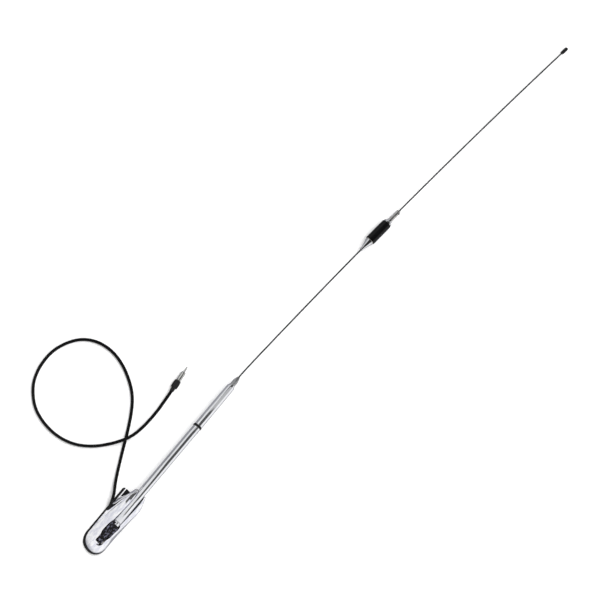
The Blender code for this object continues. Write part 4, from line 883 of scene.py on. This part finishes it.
def makeCoil():
    c = coil
    full, neck, length = c["coneRadius"], c["neck"], c["cone"]
    floor = length / 2 + 0.3  # of the bore for the whip
    profile = [(0.05, floor), (1.6, floor), (1.6, 0), (neck, 0), (neck, c["neckLength"]),
               (neck + 1, c["neckLength"] + 3), (full - 1.2, length - 5), (full, length - 2.5), (full, length),
               (0.05, length)]
    cone = turned("coilCone", profile, turnedChrome, onCoil(0), coilAxis, 80, 0.6)
    at = length + c["gap"]
    radius, length = c["sleeveRadius"], c["sleeve"]
    profile = [(0.05, 0.3), (radius - 1.0, 0.3), (radius - 0.8, 0), (radius, 0.8), (radius, length - 0.8),
               (radius - 0.8, length), (radius - 1.0, length - 0.3), (0.05, length - 0.3)]
    sleeve = turned("coilSleeve", profile, sleevePlastic, onCoil(at), coilAxis, 96, 0.5)
    at += length + c["gap"]
    full, neck, length, bore, floor = c["capRadius"], c["capNeck"], c["cap"], c["bore"], c["boreFloor"]
    profile = [(0.05, 0), (full, 0), (full, 2.6), (full - 1.4, 4.2), (neck, 5.4), (neck, length),
               (bore, length), (bore, floor), (0.05, floor)]
    cap = turned("coilCap", profile, turnedChrome, onCoil(at), coilAxis, 80, 0.35)
    at += length + c["gap"]
    length = whip["coilLength"] / mm - at
    step, big, small = 0.38 * length, c["adapter"], c["adapterNeck"]
    profile = [(bore, 0), (big, 0), (big, step - 0.5), (small, step), (small, step + 1.6), (big, step + 2.1),
               (big, length - 1), (big - 0.8, length), (bore, length), (bore, 0)]
    adapter = turned("tipAdapter", profile, turnedNickel, onCoil(at), coilAxis, 64, 0.3)
    addPieces("mast", (cone, "coil_cone", "turned_chrome"), (sleeve, "coil_sleeve", "sleeve_plastic"),
              (cap, "coil_cap", "turned_chrome"), (adapter, "tip_adapter", "nickel"))


# Coaxial lead, its boot and the plug
boot = {"wall": Vector((-24.0, 12.5, 10.1)) * mm, "direction": Vector((-0.467, 0.884, 0.0)).normalized(),
        "inside": 11.0, "outside": 18.0, "radius": 3.6, "tip": 3.4, "ribs": 4, "dive": Vector((0, 0, 4 * mm))}
cable = {
    "radius": 3 * mm, "height": 3.1 * mm, "overHeight": 6.5 * mm, "overReach": 60 * mm,
    "crossing": Vector((-91.0, 132.0)) * mm, "fall": 55 * mm,
    "route": (
        (-39, 41), (-48.5, 57), (-62, 81), (-77, 107), (-99, 146), (-119, 176),
        (-139, 197), (-165, 212), (-195, 222), (-227, 225), (-261, 218), (-290, 201),
        (-311, 175), (-324, 142), (-325, 108), (-316, 78), (-299, 57), (-274, 41),
        (-241, 34), (-204, 36), (-168, 48), (-137, 69), (-112, 96), (-94, 125),
        (-84, 149), (-77.5, 178), (-76.5, 210), (-79.5, 236),
    ),
}
plug = {"place": Vector((-82.6, 256.0, 6.8)) * mm, "tail": 7.5, "tailRadius": 4.0, "grip": 16.5,
        "gripRadius": 6.6, "gripRibs": 18, "barrel": 19.0, "barrelRadius": 4.4, "pin": 12.5,
        "pinRadius": 1.45, "gap": 0.3}


def onPlug(along):  # millimetres along the plug's own axis
    return plug["place"] + plugAxis * along * mm


def smoothPath(points, spacing):  # points at an even spacing on a smooth curve through the given ones
    ends = [2 * points[0] - points[1], *points, 2 * points[-1] - points[-2]]
    fine = []
    for before, first, second, after in zip(ends, ends[1:], ends[2:], ends[3:]):
        for t in (step / 24 for step in range(24)):
            fine.append(hermite(first, (second - before) / 2, second, (after - first) / 2, t))
    fine.append(points[-1])
    return evenly(fine, max(2, round(lengthOf(fine) / spacing)) + 1)


def makeLead():
    b, c = boot, cable
    outerEnd = b["wall"] + b["direction"] * b["outside"] * mm
    exitPoint = outerEnd + b["direction"] * 0.3 * mm
    after = exitPoint + b["direction"] * 6 * mm
    after.z -= 0.3 * mm
    route = [exitPoint, after]
    for number, (x, y) in enumerate(c["route"]):
        spot = Vector((x * mm, y * mm, c["height"]))
        travelled = (spot.xy - exitPoint.xy).length
        if number < 6 and travelled < c["fall"]:
            spot.z += (exitPoint.z - c["height"]) * math.cos(travelled / c["fall"] * math.pi / 2) ** 2
        away = (spot.xy - c["crossing"]).length
        if number > 12 and away < c["overReach"]:
            spot.z += c["overHeight"] * math.cos(away / c["overReach"] * math.pi / 2) ** 2
        route.append(spot)
    plugEnd = onPlug(-plug["gap"])
    route[-1].z = c["height"] + 0.5 * (plugEnd.z - c["height"])
    route += [onPlug(-plug["gap"] - 5), plugEnd]
    path = smoothPath(route, 4 * mm)
    for spot in path:
        spot.z = max(spot.z, c["height"])
    values = {"Radius": c["radius"], "Sides": 28, "Spacing": 4 * mm, "Material": jacketPvc}
    lead = runTree("coaxLead", tubeTree, values, path)

    start = b["wall"] - b["direction"] * b["inside"] * mm - b["dive"]
    bootAxis = (outerEnd - start).normalized()
    whole = (outerEnd - start).length / mm
    taper = whole - 13
    wide, tip = b["radius"], b["tip"]
    profile = [(0.05, 0), (wide, 0), (wide, taper), (wide - 0.6, taper + 1.0), (tip - 0.5, whole - 1.6),
               (tip, whole - 1.4), (tip, whole), (0.05, whole)]
    sleeve = turned("bootSleeve", profile, bootVinyl, start, bootAxis, 64, 0.4)
    pitch = (whole - taper - 3.0) / b["ribs"]
    values = {"Count": b["ribs"], "Pitch": pitch * mm, "First Radius": (wide - 0.7) * mm,
              "Last Radius": (tip - 0.5) * mm, "Thickness": 0.55 * mm, "Material": bootVinyl}
    ribs = runTree("bootRibs", ribsAlong, values)
    ribs.data.transform(pointing(start + bootAxis * (taper + 2.2) * mm, bootAxis))
    addPieces("foot", (join("cableBoot", [sleeve, ribs]), "cable_boot", "boot_rubber"))

    parts = makePlug()
    addPieces("foot", (lead, "coax_cable", "cable_jacket"))


def makePlug():
    p = plug
    radius, length = p["tailRadius"], p["tail"]
    profile = [(2.9, 0), (radius - 0.7, 0), (radius, 0.8), (radius, length), (0.05, length)]
    tail = turned("plugTail", profile, plugPlastic, onPlug(0), plugAxis, 48, 0.4)
    at = length + p["gap"]
    radius, length = p["gripRadius"] - 0.45, p["grip"]
    profile = [(0.05, 0), (radius - 1.2, 0), (radius, 1.2), (radius, length - 1.2), (radius - 1.2, length),
               (0.05, length)]
    grip = turned("plugGripBody", profile, plugPlastic, onPlug(at), plugAxis, 72, 0.5)
    values = {"Count": p["gripRibs"], "Circle": (radius - 0.1) * mm, "Bar Radius": 0.55 * mm,
              "Bar Length": (length / 2 - 1.6) * mm, "Material": plugPlastic}
    ribs = runTree("plugGripRibs", ribsRound, values)
    ribs.data.transform(pointing(onPlug(at + length / 2), plugAxis))
    grip = join("plugGrip", [grip, ribs])
    at += length + p["gap"]
    radius, length = p["barrelRadius"], p["barrel"]
    inner = radius - 1.2
    profile = [(0.05, 0), (radius, 0), (radius, 1.2), (radius - 0.25, 1.6), (radius - 0.25, 2.2),
               (radius, 2.6), (radius, length - 2.4), (radius - 0.7, length), (inner, length),
               (inner, length - 5), (0.05, length - 5)]
    barrel = turned("plugBarrel", profile, plugNickel, onPlug(at), plugAxis, 64, 0.3)
    at += length - 5 + p["gap"] + 4 + p["gap"]
    radius, length = p["pinRadius"], p["pin"]
    neck = radius * 0.72
    profile = [(0.05, 0), (radius, 0), (radius, length - 3.4), (neck, length - 2.9), (neck, length - 2.3),
               (radius * 0.95, length - 1.7), (radius * 0.6, length - 0.4), (0.05, length)]
    pin = turned("plugPin", profile, plugNickel, onPlug(at), plugAxis, 40, 0.25)
    addPieces("foot", (tail, "plug_tail", "plug_plastic"), (grip, "plug_grip", "plug_plastic"),
              (barrel, "plug_barrel", "nickel"), (pin, "plug_pin", "nickel"))
    return [tail, grip, barrel, pin, frame["nodes"]["plug_insulator"]]


# CAD nodes that keep their shape get their own finish, by the start of their names
keptFinish = (
    (hiddenSteel, ("plate_screw", "pivot_pin", "pin_clip")),
    (plugNickel, ("lead_terminal", "braid_ferrule")),
    (nylonWhite, ("pivot_bush", "friction_washer", "coax_core", "coil_former", "plug_insulator")),
    (jacketPvc, ("coax_tail",)), (ringPlastic, ("tube_joiner",)),
    (copperWire, ("coil_winding",)), (oxideBlack, ("set_screw",)),
)


def finishKeptNodes():
    for material, starts in keptFinish:
        for node in [made for name, made in frame["nodes"].items() if name.startswith(starts)]:
            node.data.materials.clear()
            node.data.materials.append(material)
    print("kept nodes finished")


makeFoot()
makeHousing()
makeKnuckle()
makeMast()
makeWhips()
makeCoil()
makeLead()
finishKeptNodes()
